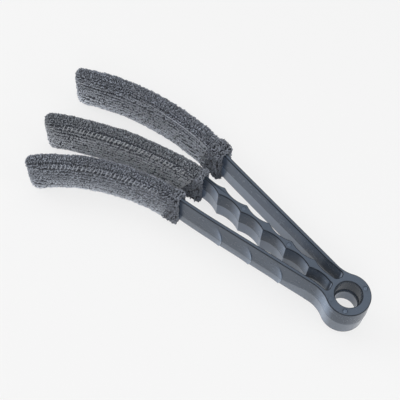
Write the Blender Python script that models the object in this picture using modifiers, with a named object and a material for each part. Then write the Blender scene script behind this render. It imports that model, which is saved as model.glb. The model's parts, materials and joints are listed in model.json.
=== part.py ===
"""Three-bladed brush for window blinds.

A moulded handle ends in a hanging ring and fans out into three arms. The two outer arms
flex inwards when the hand squeezes them. Each arm runs on as a curved blade, and a sewn
terry sleeve with a turned-back cuff slides over each blade.

The brush lies flat: +X runs from the ring to the blades, +Y towards the left arm, +Z up.
The origin is the middle of the footprint, on the surface that the sleeves lie on.
"""

from collections import namedtuple
from math import acos, asin, atan2, ceil, cos, degrees, pi, radians, sin, sqrt

import bmesh
import bpy
from mathutils import Matrix, Vector

OBJECT_NAME = "blind_brush"

# Handle moulding, metres. Plan sizes are those of the top edge; the walls swell by the
# draft down to the parting line at half height.
HANDLE_HEIGHT = 0.0262
DRAFT = 0.0003
EDGE_ROUND = 0.0004

# Hanging ring
RING_RADIUS = 0.0138
HOLE_RADIUS = 0.00845
LIP_WIDTH = 0.0011
LIP_HEIGHT = 0.0015
HOLE_WALL = 0.0033
NECK_FILLET = 0.0194
DIMPLE_RADIUS = 0.0016
DIMPLE_DEPTH = 0.0002
DIMPLE_ANGLES = (58.0, 117.0, -117.0)

# Middle arm: a spine with scallops down both sides
SPINE_OFFSET = -0.0011
SCALLOP_COUNT = 5
SCALLOP_PITCH = 0.0183
SCALLOP_DEPTH = 0.0021
SPINE_WAIST = 0.0023
FIRST_SCALLOP = 0.0105

# Outer arms
ARM_THICKNESS = 0.0023
PIVOT_REACH = 0.020
PIVOT_RADIUS = 0.0025
RUNNING_GAP = 0.0003
PAD_COUNT = 3
PAD_PITCH = 0.0224
PAD_FIRST = 0.0195
PAD_RADIUS = 0.0220
PAD_DROP = 0.0045
PAD_RISE = 0.0006
PAD_FADE = 0.0115
PAD_TOP = 0.0100
PAD_SINK = 0.00005
PAD_ROWS = 7
PAD_COLUMNS = 5
GAP_END_ROUND = 0.0016
SLOT_END_ROUND = 0.0036

# Blades, where the arms are cut down to pass into the sleeves
BLADE_HEIGHT = 0.0226
BLADE_STEP = 0.0018
BLADE_STEP_START = 0.0004

# Terry sleeves
SLEEVE_HEIGHT = 0.0286
SLEEVE_EDGE = 0.0026
MOUTH_ROUND = 0.0006
TIP_WALL = 0.0050
TIP_ROUND = 0.0024
TIP_LOW_ROUND = 0.0062
SLEEVE_CLEARANCE = 0.0003
CUFF_FULLER = 0.0010
CUFF_RISE = 0.0008
CUFF_ROLL = 0.0016

# Seam thread along the top of each sleeve
THREAD_RADIUS = 0.00045
THREAD_END = 0.006

PLASTIC = ("slate plastic", (0.105, 0.130, 0.158, 1.0), 0.32)
PLASTIC_ARM = ("slate plastic, arm", (0.112, 0.137, 0.166, 1.0), 0.32)
TERRY = ("grey terry", (0.130, 0.140, 0.155, 1.0), 0.95)
HEM = ("dark terry hem", (0.075, 0.080, 0.090, 1.0), 0.97)
THREAD = ("pale thread", (0.360, 0.380, 0.400, 1.0), 0.80)

# An arm in plan: where its straight root crosses the pivot, its heading there, its runs
# (length, turn in degrees), and its blade: radius of the curve, length and thickness of the
# sleeve, and the length of the cuff along the top and the bottom.
Arm = namedtuple("Arm", "side root heading runs radius sleeve thick cuff_top cuff_low")
ARMS = {
    "left": Arm(1, 0.0081, 7.8, ((0.072, 0.0), (0.026, -3.2)),
                0.1300, 0.1028, 0.0102, 0.0045, 0.0100),
    "middle": Arm(0, SPINE_OFFSET, 0.0, ((0.082, 0.0), (0.0065, -5.0), (0.0085, 10.0)),
                  0.2155, 0.1115, 0.0110, 0.0025, 0.0165),
    "right": Arm(-1, -0.01004, -7.27, ((0.084, 0.0), (0.015, -1.8)),
                 0.1765, 0.1175, 0.0102, 0.0095, 0.0160),
}

# Fineness of the meshes
SMOOTH_ANGLE = 32.0
ARC_STEP = 0.0011
CORNER_SHARE = 0.46
SECTION_SIDES = 16
POCKET_STEPS = 20
SLEEVE_STEPS = 26
TIP_STEPS = 5
THREAD_STEPS = 30
THREAD_SIDES = 6

parts = bpy.data.collections.new(OBJECT_NAME)
cutters = bpy.data.collections.new("cutters")


# Scene and materials

def clear_scene():
    for obj in list(bpy.data.objects):
        bpy.data.objects.remove(obj, do_unlink=True)


def material(look):
    name, colour, roughness = look
    found = bpy.data.materials.get(name)
    if found:
        return found
    made = bpy.data.materials.new(name)
    made.use_nodes = True
    shader = made.node_tree.nodes["Principled BSDF"]
    shader.inputs["Base Color"].default_value = colour
    shader.inputs["Roughness"].default_value = roughness
    shader.inputs["Metallic"].default_value = 0.0
    made.diffuse_color = colour
    return made


def add_object(name, mesh, look, origin=(0.0, 0.0), parent=None, smooth=True):
    """A part whose mesh is given in plan coordinates, with its origin moved to a plan point."""
    mesh.transform(Matrix.Translation((-origin[0], -origin[1], 0.0)))
    mesh.materials.clear()
    mesh.materials.append(material(look))
    obj = bpy.data.objects.new(name, mesh)
    parts.objects.link(obj)
    place(obj, origin, parent)
    if smooth:
        mesh.shade_smooth()
        mesh.set_sharp_from_angle(angle=radians(SMOOTH_ANGLE))
    return obj


def place(obj, origin, parent):
    """Put an object at a plan point, under a parent that itself is only moved, not turned."""
    obj.parent = parent
    base = plan_place(parent) if parent else Vector((0.0, 0.0, 0.0))
    obj.location = Vector((origin[0], origin[1], 0.0)) - base


def plan_place(obj):
    """Plan position of an object: its offsets summed up to the root."""
    total = obj.location.copy()
    while obj.parent:
        obj = obj.parent
        total += obj.location
    return total


def add_cutter(name, mesh, parent):
    obj = bpy.data.objects.new(name, mesh)
    cutters.objects.link(obj)
    place(obj, (0.0, 0.0), parent)
    obj.display_type = "WIRE"
    obj.hide_render = True
    return obj


def boolean(obj, cutter, operation="DIFFERENCE"):
    modifier = obj.modifiers.new(cutter.name, "BOOLEAN")
    modifier.operation = operation
    modifier.object = cutter
    modifier.solver = "EXACT"


# Plan geometry

def heading_vector(heading):
    return Vector((cos(radians(heading)), sin(radians(heading))))


def left_of(direction):
    return Vector((-direction.y, direction.x))


def follow(start, heading, runs):
    """Points and headings along runs of (length, turn); straight runs have only their ends."""
    stations = [(Vector(start), heading)]
    for length, turn in runs:
        count = 1 if turn == 0.0 else max(4, ceil(abs(turn) / 1.6))
        for _ in range(count):
            point, heading = stations[-1]
            middle = heading + turn / count / 2
            stations.append((point + heading_vector(middle) * (length / count), heading + turn / count))
    return stations


def arc_points(centre, radius, first, last, step=ARC_STEP):
    """Points on a circle from one angle to another, in degrees, both ends included."""
    count = max(3, ceil(abs(radians(last - first)) * radius / step))
    angles = [radians(first + (last - first) * i / count) for i in range(count + 1)]
    return [Vector((centre[0] + radius * cos(a), centre[1] + radius * sin(a))) for a in angles]


def rounded_corner(before, corner, after, radius):
    """The arc that rounds one corner of an outline, as points."""
    into = (before - corner).normalized()
    out = (after - corner).normalized()
    half = acos(max(-1.0, min(1.0, into.dot(out)))) / 2
    room = min((before - corner).length, (after - corner).length) * CORNER_SHARE
    radius = min(radius, room * sin(half) / cos(half))
    reach = radius / sin(half)
    centre = corner + (into + out).normalized() * reach
    first = corner + into * (reach * cos(half))
    last = corner + out * (reach * cos(half))
    start = atan2(first.y - centre.y, first.x - centre.x)
    sweep = atan2(last.y - centre.y, last.x - centre.x) - start
    sweep = (sweep + pi) % (2 * pi) - pi
    return arc_points(centre, radius, degrees(start), degrees(start + sweep))


def side_points(stations, offset):
    return [point + left_of(heading_vector(heading)) * offset for point, heading in stations]


# Meshes from outlines

def flat_mesh(name, outlines):
    """Filled plan outline with its holes, as a flat mesh at the parting plane."""
    curve = bpy.data.curves.new(name, "CURVE")
    curve.dimensions = "2D"
    curve.fill_mode = "BOTH"
    for outline in outlines:
        spline = curve.splines.new("POLY")
        spline.points.add(len(outline) - 1)
        for spline_point, point in zip(spline.points, outline):
            spline_point.co = (point[0], point[1], 0.0, 1.0)
        spline.use_cyclic_u = True
    holder = bpy.data.objects.new(name, curve)
    bpy.context.scene.collection.objects.link(holder)
    bpy.context.view_layer.update()
    evaluated = holder.evaluated_get(bpy.context.evaluated_depsgraph_get())
    mesh = bpy.data.meshes.new_from_object(evaluated)
    bpy.data.objects.remove(holder)
    bpy.data.curves.remove(curve)
    return mesh


def prism(name, outlines, bottom, top):
    """A closed block on a plan outline, between two heights."""
    mesh = flat_mesh(name, outlines)
    bm = bmesh.new()
    bm.from_mesh(mesh)
    bmesh.ops.remove_doubles(bm, verts=bm.verts, dist=1e-6)
    bmesh.ops.translate(bm, vec=(0.0, 0.0, bottom), verts=bm.verts)
    grown = bmesh.ops.extrude_face_region(bm, geom=bm.faces[:] + bm.edges[:])
    lifted = [item for item in grown["geom"] if isinstance(item, bmesh.types.BMVert)]
    bmesh.ops.translate(bm, vec=(0.0, 0.0, top - bottom), verts=lifted)
    bmesh.ops.recalc_face_normals(bm, faces=bm.faces)
    bm.to_mesh(mesh)
    bm.free()
    return mesh


def drawn_in(outline, distance):
    """An outline moved into the material, which lies to its left, by an even distance."""
    moved = []
    for before, here, after in zip(outline[-1:] + outline[:-1], outline, outline[1:] + outline[:1]):
        arriving = left_of((here - before).normalized())
        leaving = left_of((after - here).normalized())
        middle = (arriving + leaving).normalized()
        moved.append(here + middle * (distance / max(0.5, middle.dot(arriving))))
    return moved


def half_moulding(name, outlines):
    """Upper half of a moulded piece: drafted wall and eased edge, open at the parting plane."""
    half = HANDLE_HEIGHT / 2
    eased = EDGE_ROUND * (1 - cos(pi / 4))
    levels = ((0.0, 0.0), (DRAFT, half - EDGE_ROUND), (DRAFT + eased, half - eased),
              (DRAFT + EDGE_ROUND, half))
    bm = bmesh.new()
    rim = []
    for outline in outlines:
        rows = []
        for inward, height in levels:
            rows.append([bm.verts.new((point.x, point.y, height)) for point in drawn_in(outline, inward)])
        count = len(outline)
        for low, high in zip(rows, rows[1:]):
            for i in range(count):
                j = (i + 1) % count
                bm.faces.new((low[i], low[j], high[j], high[i]))
        rim += [bm.edges.get((rows[-1][i], rows[-1][(i + 1) % count])) for i in range(count)]
    bmesh.ops.triangle_fill(bm, edges=rim, use_beauty=True, normal=(0.0, 0.0, 1.0))
    mesh = bpy.data.meshes.new(name)
    bm.to_mesh(mesh)
    bm.free()
    return mesh


def moulded(name, outlines, look, origin, parent):
    """A moulded piece: the half is mirrored at the parting line."""
    obj = add_object(name, half_moulding(name, outlines), look, origin, parent)
    mirror = obj.modifiers.new("parting line", "MIRROR")
    mirror.use_axis = (False, False, True)
    mirror.merge_threshold = 0.00001
    return obj


def loft(rings, closed=False):
    """Skin a row of rings with equal point counts; closed joins the last ring to the first."""
    bm = bmesh.new()
    rows = [[bm.verts.new(point) for point in ring] for ring in rings]
    pairs = list(zip(rows, rows[1:])) + ([(rows[-1], rows[0])] if closed else [])
    for here, there in pairs:
        for i in range(len(here)):
            j = (i + 1) % len(here)
            bm.faces.new((here[i], here[j], there[j], there[i]))
    if not closed:
        bm.faces.new(list(reversed(rows[0])))
        bm.faces.new(rows[-1])
    bmesh.ops.recalc_face_normals(bm, faces=bm.faces)
    return bm


def finish(bm, name):
    bm.normal_update()
    if bm.calc_volume(signed=True) < 0:
        bmesh.ops.reverse_faces(bm, faces=bm.faces)
    mesh = bpy.data.meshes.new(name)
    bm.to_mesh(mesh)
    bm.free()
    return mesh


# The arms' lines

def arm_stations(arm):
    """Centre line of an arm from the pivot to the start of its blade."""
    return follow((PIVOT_REACH, arm.root), arm.heading, arm.runs)


def blade_frame(arm):
    """Start, heading and curve centre of an arm's blade."""
    point, heading = arm_stations(arm)[-1]
    return point, heading, point + left_of(heading_vector(heading)) * arm.radius


def along_arm(arm, distance):
    """Point and heading on an arm's centre line at a distance from the pivot."""
    stations = arm_stations(arm)
    for (here, heading), (there, _) in zip(stations, stations[1:]):
        length = (there - here).length
        if distance <= length:
            return here + (there - here) * (distance / length), heading
        distance -= length
    here, heading = stations[-1]
    return here + heading_vector(heading) * distance, heading


def blade_length(arm):
    return arm.sleeve - TIP_WALL - SLEEVE_CLEARANCE


def blade_stations(arm):
    """Centre line of the blade, past its start."""
    turn = degrees(blade_length(arm) / arm.radius)
    point, heading, _ = blade_frame(arm)
    return follow(point, heading, ((blade_length(arm), turn),))[1:]


def on_blade(arm, along, across, height):
    """Point at a place along the curved blade, off its centre line and above the parting plane."""
    _, heading, centre = blade_frame(arm)
    angle = radians(heading - 90.0) + along / arm.radius
    reach = arm.radius - across
    return Vector((centre.x + reach * cos(angle), centre.y + reach * sin(angle), height))


def half_width():
    """Half the thickness of an arm at the parting plane."""
    return ARM_THICKNESS / 2 + DRAFT


# Handle

def spine_place(x):
    """Where the middle arm's centre line lies at a distance from the ring."""
    stations = arm_stations(ARMS["middle"])
    for (here, _), (there, _) in zip(stations, stations[1:]):
        if x <= there.x:
            return here.y + (there.y - here.y) * max(0.0, x - here.x) / (there.x - here.x)
    return stations[-1][0].y


def scallop_side(side):
    """One edge of the scalloped spine, from the ring outwards: circular bites between cusps."""
    waist = SPINE_WAIST / 2 + DRAFT
    half_pitch = SCALLOP_PITCH / 2
    radius = (half_pitch ** 2 + SCALLOP_DEPTH ** 2) / (2 * SCALLOP_DEPTH)
    spread = degrees(asin(half_pitch / radius))
    points = [Vector((FIRST_SCALLOP, waist + SCALLOP_DEPTH))]
    for i in range(SCALLOP_COUNT + 1):
        middle = FIRST_SCALLOP + SCALLOP_PITCH * (i + 0.5)
        last = -90.0 + spread if i < SCALLOP_COUNT else -90.0
        points += arc_points((middle, waist + radius), radius, -90.0 - spread, last, ARC_STEP * 2)[1:]
    return [Vector((point.x, spine_place(point.x) + side * point.y)) for point in points]


def neck(arm):
    """Outer edge from the ring through a fillet to the arm's root: its start angle and points."""
    side = arm.side
    direction = heading_vector(arm.heading * side)
    normal = left_of(direction)
    line = normal.dot(Vector((PIVOT_REACH, arm.root * side))) + half_width()
    ring = RING_RADIUS + DRAFT
    along = sqrt((ring + NECK_FILLET) ** 2 - (line + NECK_FILLET) ** 2)
    centre = normal * (line + NECK_FILLET) + direction * along
    start = degrees(atan2(centre.y, centre.x))
    end = arm.heading * side - 90.0
    points = arc_points(centre, NECK_FILLET, start - 180.0, end, ARC_STEP * 1.5)
    return start, [Vector((point.x, point.y * side)) for point in points]


def stub(arm):
    """A short length of outer arm that the handle carries, both edges, from the ring outwards."""
    direction = heading_vector(arm.heading)
    pivot = Vector((PIVOT_REACH, arm.root))
    end = pivot + direction * PIVOT_RADIUS * 2
    across = left_of(direction) * half_width() * arm.side
    return end + across, end - across


def gap_end(arm):
    """Inner edge of the stub and the rounded end of the gap, from the stub's end to the spine."""
    _, inner_end = stub(arm)
    wall = HOLE_RADIUS + HOLE_WALL
    root = arm.root - half_width() * arm.side
    outer_corner = Vector((sqrt(wall ** 2 - (root * 0.75) ** 2), root))
    cusp = scallop_side(arm.side)
    rounding = GAP_END_ROUND if arm.side > 0 else SLOT_END_ROUND
    first = next(i for i, point in enumerate(cusp) if point.x > wall + rounding)
    spine_corner = Vector((wall, cusp[first].y))
    corner = rounded_corner(inner_end, outer_corner, spine_corner, rounding)
    rounding = min(rounding, abs(spine_corner.y - root) * CORNER_SHARE)
    last = rounded_corner(outer_corner, spine_corner, cusp[first], rounding)
    return corner + last, cusp[first:]


def handle_outline():
    """Ring, scalloped spine with its blade, and the stubs of both outer arms, anticlockwise."""
    left, middle, right = ARMS["left"], ARMS["middle"], ARMS["right"]
    left_start, left_neck = neck(left)
    right_start, right_neck = neck(right)
    ring = arc_points((0.0, 0.0), RING_RADIUS + DRAFT, left_start, 360.0 - right_start, ARC_STEP * 1.5)
    right_outer, right_inner = stub(right)
    left_outer, left_inner = stub(left)
    right_gap, right_spine = gap_end(right)
    left_gap, left_spine = gap_end(left)
    line = arm_stations(middle) + blade_stations(middle)
    line = [station for station in line if station[0].x > right_spine[-1].x + ARC_STEP]
    outline = [left_outer] + list(reversed(left_neck)) + ring[1:-1] + right_neck
    outline += [right_outer, right_inner]
    outline += right_gap + right_spine + side_points(line, -half_width())
    outline += list(reversed(side_points(line, half_width()))) + list(reversed(left_spine))
    outline += list(reversed(left_gap)) + [left_inner]
    return outline


def joint_cutter(name, arm, keep_handle, parent):
    """The block that ends the handle's stub in a round nose, or the arm in the hollow round it."""
    pivot = Vector((PIVOT_REACH, arm.root))
    direction = heading_vector(arm.heading)
    across = left_of(direction)
    wide = half_width() * 2.2
    radius = PIVOT_RADIUS if keep_handle else PIVOT_RADIUS + RUNNING_GAP
    spread = degrees(asin(wide / radius)) if wide < radius else 80.0
    nose = arc_points(pivot, radius, arm.heading - spread, arm.heading + spread, ARC_STEP / 3)
    reach = PIVOT_RADIUS * (3 if keep_handle else -2)
    wide = radius * sin(radians(spread))
    back = [pivot + direction * reach + across * wide, pivot + direction * reach - across * wide]
    tall = HANDLE_HEIGHT * 0.6
    return add_cutter(name, prism(name, [nose + back], -tall, tall), parent)


def blade_cutters(parent):
    """The wedges that cut the arms down to blades, above and below."""
    start = max(blade_frame(arm)[0].x for arm in ARMS.values()) + BLADE_STEP_START
    far = start + max(arm.sleeve for arm in ARMS.values()) * 1.2
    wide = far / 2
    tall = HANDLE_HEIGHT
    full = HANDLE_HEIGHT / 2 + EDGE_ROUND
    low = BLADE_HEIGHT / 2
    cut = []
    for name, sign in (("blade cut above", 1), ("blade cut below", -1)):
        profile = [(start, full), (start + BLADE_STEP, low), (far, low), (far, tall), (start, tall)]
        rings = [[Vector((x, y, sign * z)) for x, z in profile] for y in (-wide, wide)]
        cut.append(add_cutter(name, finish(loft(rings), name), parent))
    return cut


def make_handle(root):
    """Ring, spine, middle blade and stubs in one moulding, with the lip inside the hanging hole."""
    hole = arc_points((0.0, 0.0), HOLE_RADIUS - DRAFT, 360.0, 0.0, ARC_STEP * 1.5)[:-1]
    handle = moulded("handle", [handle_outline(), hole], PLASTIC, (0.0, 0.0), root)
    lip_inner = arc_points((0.0, 0.0), HOLE_RADIUS - LIP_WIDTH, 0.0, 360.0, ARC_STEP * 1.5)[:-1]
    lip_outer = arc_points((0.0, 0.0), HOLE_RADIUS + HOLE_WALL / 3, 0.0, 360.0, ARC_STEP * 2)[:-1]
    lip = prism("hole lip", [lip_outer, lip_inner], -LIP_HEIGHT / 2, LIP_HEIGHT / 2)
    lip = add_cutter("hole lip", lip, root)
    boolean(handle, lip, "UNION")
    for name in ("left", "right"):
        boolean(handle, joint_cutter(f"nose {name}", ARMS[name], True, root))
    for cutter in blade_cutters(root):
        boolean(handle, cutter)
    boolean(handle, dimples(root))
    return handle


def dimples(root):
    """The ejector pins' round marks in the ring's and the spine's top faces."""
    middle = (RING_RADIUS + HOLE_RADIUS) / 2
    places = [Vector((cos(radians(angle)), sin(radians(angle)))) * middle for angle in DIMPLE_ANGLES]
    for cusp in (2, 4):
        places.append(Vector((FIRST_SCALLOP + SCALLOP_PITCH * cusp, SPINE_OFFSET)))
    bm = bmesh.new()
    for place_point in places:
        height = HANDLE_HEIGHT / 2 + DIMPLE_DEPTH
        where = Matrix.Translation((place_point.x, place_point.y, height))
        bmesh.ops.create_cone(bm, cap_ends=True, segments=16, radius1=DIMPLE_RADIUS, radius2=DIMPLE_RADIUS,
                              depth=DIMPLE_DEPTH * 4, matrix=where)
    return add_cutter("dimples", finish(bm, "dimples"), root)


# Outer arms

def arm_outline(arm):
    """An outer arm and its blade from the pivot to the tip, anticlockwise."""
    line = arm_stations(arm) + blade_stations(arm)
    return side_points(line, -half_width()) + list(reversed(side_points(line, half_width())))


def pad_surface(arm, number, height):
    """A finger pad's outer surface at a height: plan points from its round edge to where it fades."""
    share = max(0.0, min(1.0, (PAD_TOP - height) / PAD_TOP))
    wall = half_width() - DRAFT * abs(height) / (HANDLE_HEIGHT / 2 - EDGE_ROUND)
    edge = PAD_RADIUS - sqrt(PAD_RADIUS ** 2 - (height + PAD_DROP) ** 2)
    points = []
    for i in range(PAD_COLUMNS):
        fade = i / (PAD_COLUMNS - 1)
        point, heading = along_arm(arm, PAD_FIRST + PAD_PITCH * number + edge + PAD_FADE * fade)
        rise = PAD_RISE * (1 - fade) * share - PAD_SINK
        points.append((point, left_of(heading_vector(heading)) * arm.side, wall + rise))
    return points


def finger_pad(name, arm, number, root):
    """A low pad for a finger on the outer face: a round step towards the ring that fades away."""
    low = EDGE_ROUND - HANDLE_HEIGHT / 2
    rings = []
    for row in range(PAD_ROWS):
        height = low + (PAD_TOP - low) * row / (PAD_ROWS - 1)
        surface = pad_surface(arm, number, height)
        ring = [point + normal * reach for point, normal, reach in surface]
        for point, normal, _ in (surface[-1], surface[0]):
            ring.append(point + normal * (half_width() / 2))
        rings.append([Vector((point.x, point.y, height)) for point in ring])
    return add_cutter(name, finish(loft(rings), name), root)


def make_arm(name, arm, root):
    """One outer arm: hollow end round the handle's nose, finger pads and a blade."""
    pivot = (PIVOT_REACH, arm.root)
    obj = moulded(f"arm_{name}", [arm_outline(arm)], PLASTIC_ARM, pivot, root)
    boolean(obj, joint_cutter(f"hollow {name}", arm, False, root))
    for number in range(PAD_COUNT):
        boolean(obj, finger_pad(f"pad {name} {number + 1}", arm, number, root), "UNION")
    for cutter in ("blade cut above", "blade cut below"):
        boolean(obj, bpy.data.objects[cutter])
    return obj


# Sleeves

def section(thickness, low, high, edge):
    """A rounded upright section, as (across, height) points, with the same count every time."""
    edge = min(edge, thickness * 0.49, (high - low) * 0.49)
    points = []
    quarter = SECTION_SIDES // 4
    for cx, cz, start in ((1, 1, 0.0), (-1, 1, 90.0), (-1, -1, 180.0), (1, -1, 270.0)):
        for i in range(quarter):
            angle = radians(start + 90.0 * i / (quarter - 1))
            y = cx * (thickness / 2 - edge) + edge * cos(angle)
            z = (high - edge if cz > 0 else low + edge) + edge * sin(angle)
            points.append((y, z))
    return points


def slanted(along, height, arm, share):
    """Place along the blade of the edge between cuff and sleeve, which slants back towards the bottom."""
    down = (SLEEVE_HEIGHT / 2 - height) / SLEEVE_HEIGHT
    return along + share * (arm.cuff_low - arm.cuff_top) * down


def ring_on_blade(arm, points, along, share):
    return [on_blade(arm, slanted(along, z, arm, share), y, z) for y, z in points]


def sleeve_rings(arm):
    """Rings of a sleeve, from the end of its pocket out over its mouth and along to its tip."""
    pocket_width = half_width() * 2 + 2 * SLEEVE_CLEARANCE
    pocket_half = BLADE_HEIGHT / 2 + SLEEVE_CLEARANCE
    pocket_end = blade_length(arm) + SLEEVE_CLEARANCE
    half = SLEEVE_HEIGHT / 2
    mouth = arm.cuff_top + RUNNING_GAP
    inner = section(pocket_width, -pocket_half, pocket_half, SLEEVE_CLEARANCE)
    rim = section(arm.thick - MOUTH_ROUND * 2, MOUTH_ROUND - half, half - MOUTH_ROUND, SLEEVE_EDGE)
    body = section(arm.thick, -half, half, SLEEVE_EDGE)
    rings = []
    for i in range(POCKET_STEPS + 1):
        share = i / POCKET_STEPS
        rings.append(ring_on_blade(arm, inner, pocket_end + (mouth - pocket_end) * share, share))
    rings.append(ring_on_blade(arm, rim, mouth, 1.0))
    first = mouth + MOUTH_ROUND
    last = arm.sleeve - TIP_LOW_ROUND
    for i in range(SLEEVE_STEPS + 1):
        share = i / SLEEVE_STEPS
        rings.append(ring_on_blade(arm, body, first + (last - first) * share, 1.0 - share))
    for step in range(1, TIP_STEPS + 1):
        angle = radians(90.0 * step / TIP_STEPS)
        along = last + TIP_LOW_ROUND * sin(angle)
        past = max(0.0, along - (arm.sleeve - TIP_ROUND))
        narrow = TIP_ROUND - sqrt(max(0.0, TIP_ROUND ** 2 - past ** 2))
        low = TIP_LOW_ROUND * (1 - cos(angle)) - half
        tip = section(arm.thick - narrow * 2, low, half - narrow / 2, SLEEVE_EDGE)
        rings.append(ring_on_blade(arm, tip, along, 0.0))
    return rings


def cuff_rings(arm):
    """Rings round the turned-back cuff: out along its inside and back along its outside."""
    clear_width = half_width() * 2 + 2 * SLEEVE_CLEARANCE
    clear_half = HANDLE_HEIGHT / 2 + SLEEVE_CLEARANCE
    low = -SLEEVE_HEIGHT / 2
    high = SLEEVE_HEIGHT / 2 + CUFF_RISE
    inner = section(clear_width, -clear_half, clear_half, SLEEVE_CLEARANCE)
    low_rim = min(low + MOUTH_ROUND, (low - clear_half) / 2)
    thick = arm.thick + CUFF_FULLER
    rim = section(thick - MOUTH_ROUND * 2, low_rim, high - MOUTH_ROUND, SLEEVE_EDGE)
    full = section(thick, low, high, SLEEVE_EDGE)
    roll = min(CUFF_ROLL, arm.cuff_top * 0.35)
    path = ((inner, 0.0, 0.0), (inner, arm.cuff_top / 2, 0.5), (inner, arm.cuff_top, 1.0),
            (rim, arm.cuff_top, 1.0), (full, arm.cuff_top - roll, 1.0), (full, arm.cuff_top / 2, 0.5),
            (full, roll, 0.0), (rim, 0.0, 0.0))
    return [ring_on_blade(arm, points, along, share) for points, along, share in path]


def thread_mesh(name, arm):
    """The seam's thread, a thin tube along the top of the sleeve near its left face."""
    across = arm.thick / 2 - SLEEVE_EDGE
    height = SLEEVE_HEIGHT / 2 + RUNNING_GAP + THREAD_RADIUS
    first = arm.cuff_top + THREAD_END
    last = arm.sleeve - TIP_LOW_ROUND - THREAD_END
    angles = [radians(360.0 * side / THREAD_SIDES) for side in range(THREAD_SIDES)]
    circle = [(across + THREAD_RADIUS * cos(angle), height + THREAD_RADIUS * sin(angle))
              for angle in angles]
    rings = []
    for i in range(THREAD_STEPS + 1):
        along = first + (last - first) * i / THREAD_STEPS
        rings.append([on_blade(arm, along, y, z) for y, z in circle])
    return finish(loft(rings), name)


def make_cover(name, arm, carrier):
    """Sleeve, cuff and seam thread, turning about the centre of the blade's curve as they slide off."""
    centre = blade_frame(arm)[2]
    guide = bpy.data.objects.new(f"slide axis {name}", None)
    parts.objects.link(guide)
    place(guide, centre, carrier)
    sleeve = finish(loft(sleeve_rings(arm)), f"sleeve_{name}")
    cuff = finish(loft(cuff_rings(arm), closed=True), f"cuff_{name}")
    add_object(f"sleeve_{name}", sleeve, TERRY, centre, guide)
    add_object(f"cuff_{name}", cuff, HEM, centre, guide)
    add_object(f"thread_{name}", thread_mesh(f"thread_{name}", arm), THREAD, centre, guide)


def stand_on_origin(root):
    """Move everything so that the footprint's middle is the origin and the lowest point is at zero."""
    bpy.context.view_layer.update()
    depsgraph = bpy.context.evaluated_depsgraph_get()
    corners = []
    for obj in parts.objects:
        if obj.type == "MESH":
            evaluated = obj.evaluated_get(depsgraph)
            corners += [evaluated.matrix_world @ Vector(corner) for corner in evaluated.bound_box]
    low = Vector([min(corner[i] for corner in corners) for i in range(3)])
    high = Vector([max(corner[i] for corner in corners) for i in range(3)])
    root.location = (-(low.x + high.x) / 2, -(low.y + high.y) / 2, -low.z)
    bpy.context.view_layer.update()
    print("size", [round(value, 5) for value in high - low])


def main():
    clear_scene()
    for collection in (parts, cutters):
        bpy.context.scene.collection.children.link(collection)
    root = bpy.data.objects.new("footprint", None)
    parts.objects.link(root)
    handle = make_handle(root)
    carriers = {"middle": handle}
    for name in ("left", "right"):
        carriers[name] = make_arm(name, ARMS[name], root)
    for name, arm in ARMS.items():
        make_cover(name, arm, carriers[name])
    stand_on_origin(root)
    for obj in parts.objects:
        if obj.type == "EMPTY" or obj.name.startswith("arm_"):
            print(obj.name, [round(value, 5) for value in obj.matrix_world.translation])


main()
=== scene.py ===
"""Visual model of a three-bladed brush for window blinds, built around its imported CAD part.

Plan coordinates run from the hanging ring's centre: x towards the blades, y towards the
left arm, and z up from the moulding's parting plane. OFFSET takes them to the row frame.
"""

import json
from collections import namedtuple
from math import acos, asin, atan2, ceil, cos, degrees, pi, radians, sin, sqrt

import bmesh
import bpy
import numpy as np
from mathutils import Matrix, Vector


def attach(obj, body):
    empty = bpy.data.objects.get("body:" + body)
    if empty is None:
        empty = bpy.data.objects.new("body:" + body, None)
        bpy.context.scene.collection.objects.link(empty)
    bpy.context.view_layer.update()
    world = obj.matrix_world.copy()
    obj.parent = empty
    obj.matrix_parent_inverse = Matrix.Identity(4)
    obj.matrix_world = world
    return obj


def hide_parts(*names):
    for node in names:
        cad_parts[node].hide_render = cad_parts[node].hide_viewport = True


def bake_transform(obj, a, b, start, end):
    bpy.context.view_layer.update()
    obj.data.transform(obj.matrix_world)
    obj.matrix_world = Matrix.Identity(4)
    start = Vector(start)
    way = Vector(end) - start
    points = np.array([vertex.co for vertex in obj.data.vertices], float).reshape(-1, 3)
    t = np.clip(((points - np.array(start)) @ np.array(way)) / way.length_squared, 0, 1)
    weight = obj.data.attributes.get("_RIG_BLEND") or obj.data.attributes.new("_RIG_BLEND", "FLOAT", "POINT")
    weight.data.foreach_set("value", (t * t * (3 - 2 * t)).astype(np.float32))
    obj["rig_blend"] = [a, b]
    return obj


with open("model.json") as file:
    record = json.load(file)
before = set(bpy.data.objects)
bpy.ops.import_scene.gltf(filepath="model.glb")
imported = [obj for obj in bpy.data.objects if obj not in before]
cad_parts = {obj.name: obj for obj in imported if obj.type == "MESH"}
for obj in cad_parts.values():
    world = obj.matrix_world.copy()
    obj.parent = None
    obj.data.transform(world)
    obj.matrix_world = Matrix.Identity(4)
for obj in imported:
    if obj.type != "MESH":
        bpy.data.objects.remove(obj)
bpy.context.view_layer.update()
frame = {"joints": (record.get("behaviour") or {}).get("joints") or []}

# Moulding: walls with draft to both sides of the parting line, rounded along both edges
HANDLE_HEIGHT = 0.0262
DRAFT = 0.0003
EDGE_ROUND = 0.00045
ROUND_ANGLES = (22, 45, 68, 90)
MISMATCH = 0.00009
WALL_SHARES = (0.0, 0.04, 0.16, 0.32, 0.48, 0.64, 0.80, 0.96, 1.0)
SHOULDER = HANDLE_HEIGHT / 2 - EDGE_ROUND
RIM_INSET = DRAFT + EDGE_ROUND + 0.00012
FINE = 0.0006
HAIR = 0.00001
SMOOTH_ANGLE = 30.0
CORNER_SHARE = 0.46

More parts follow.
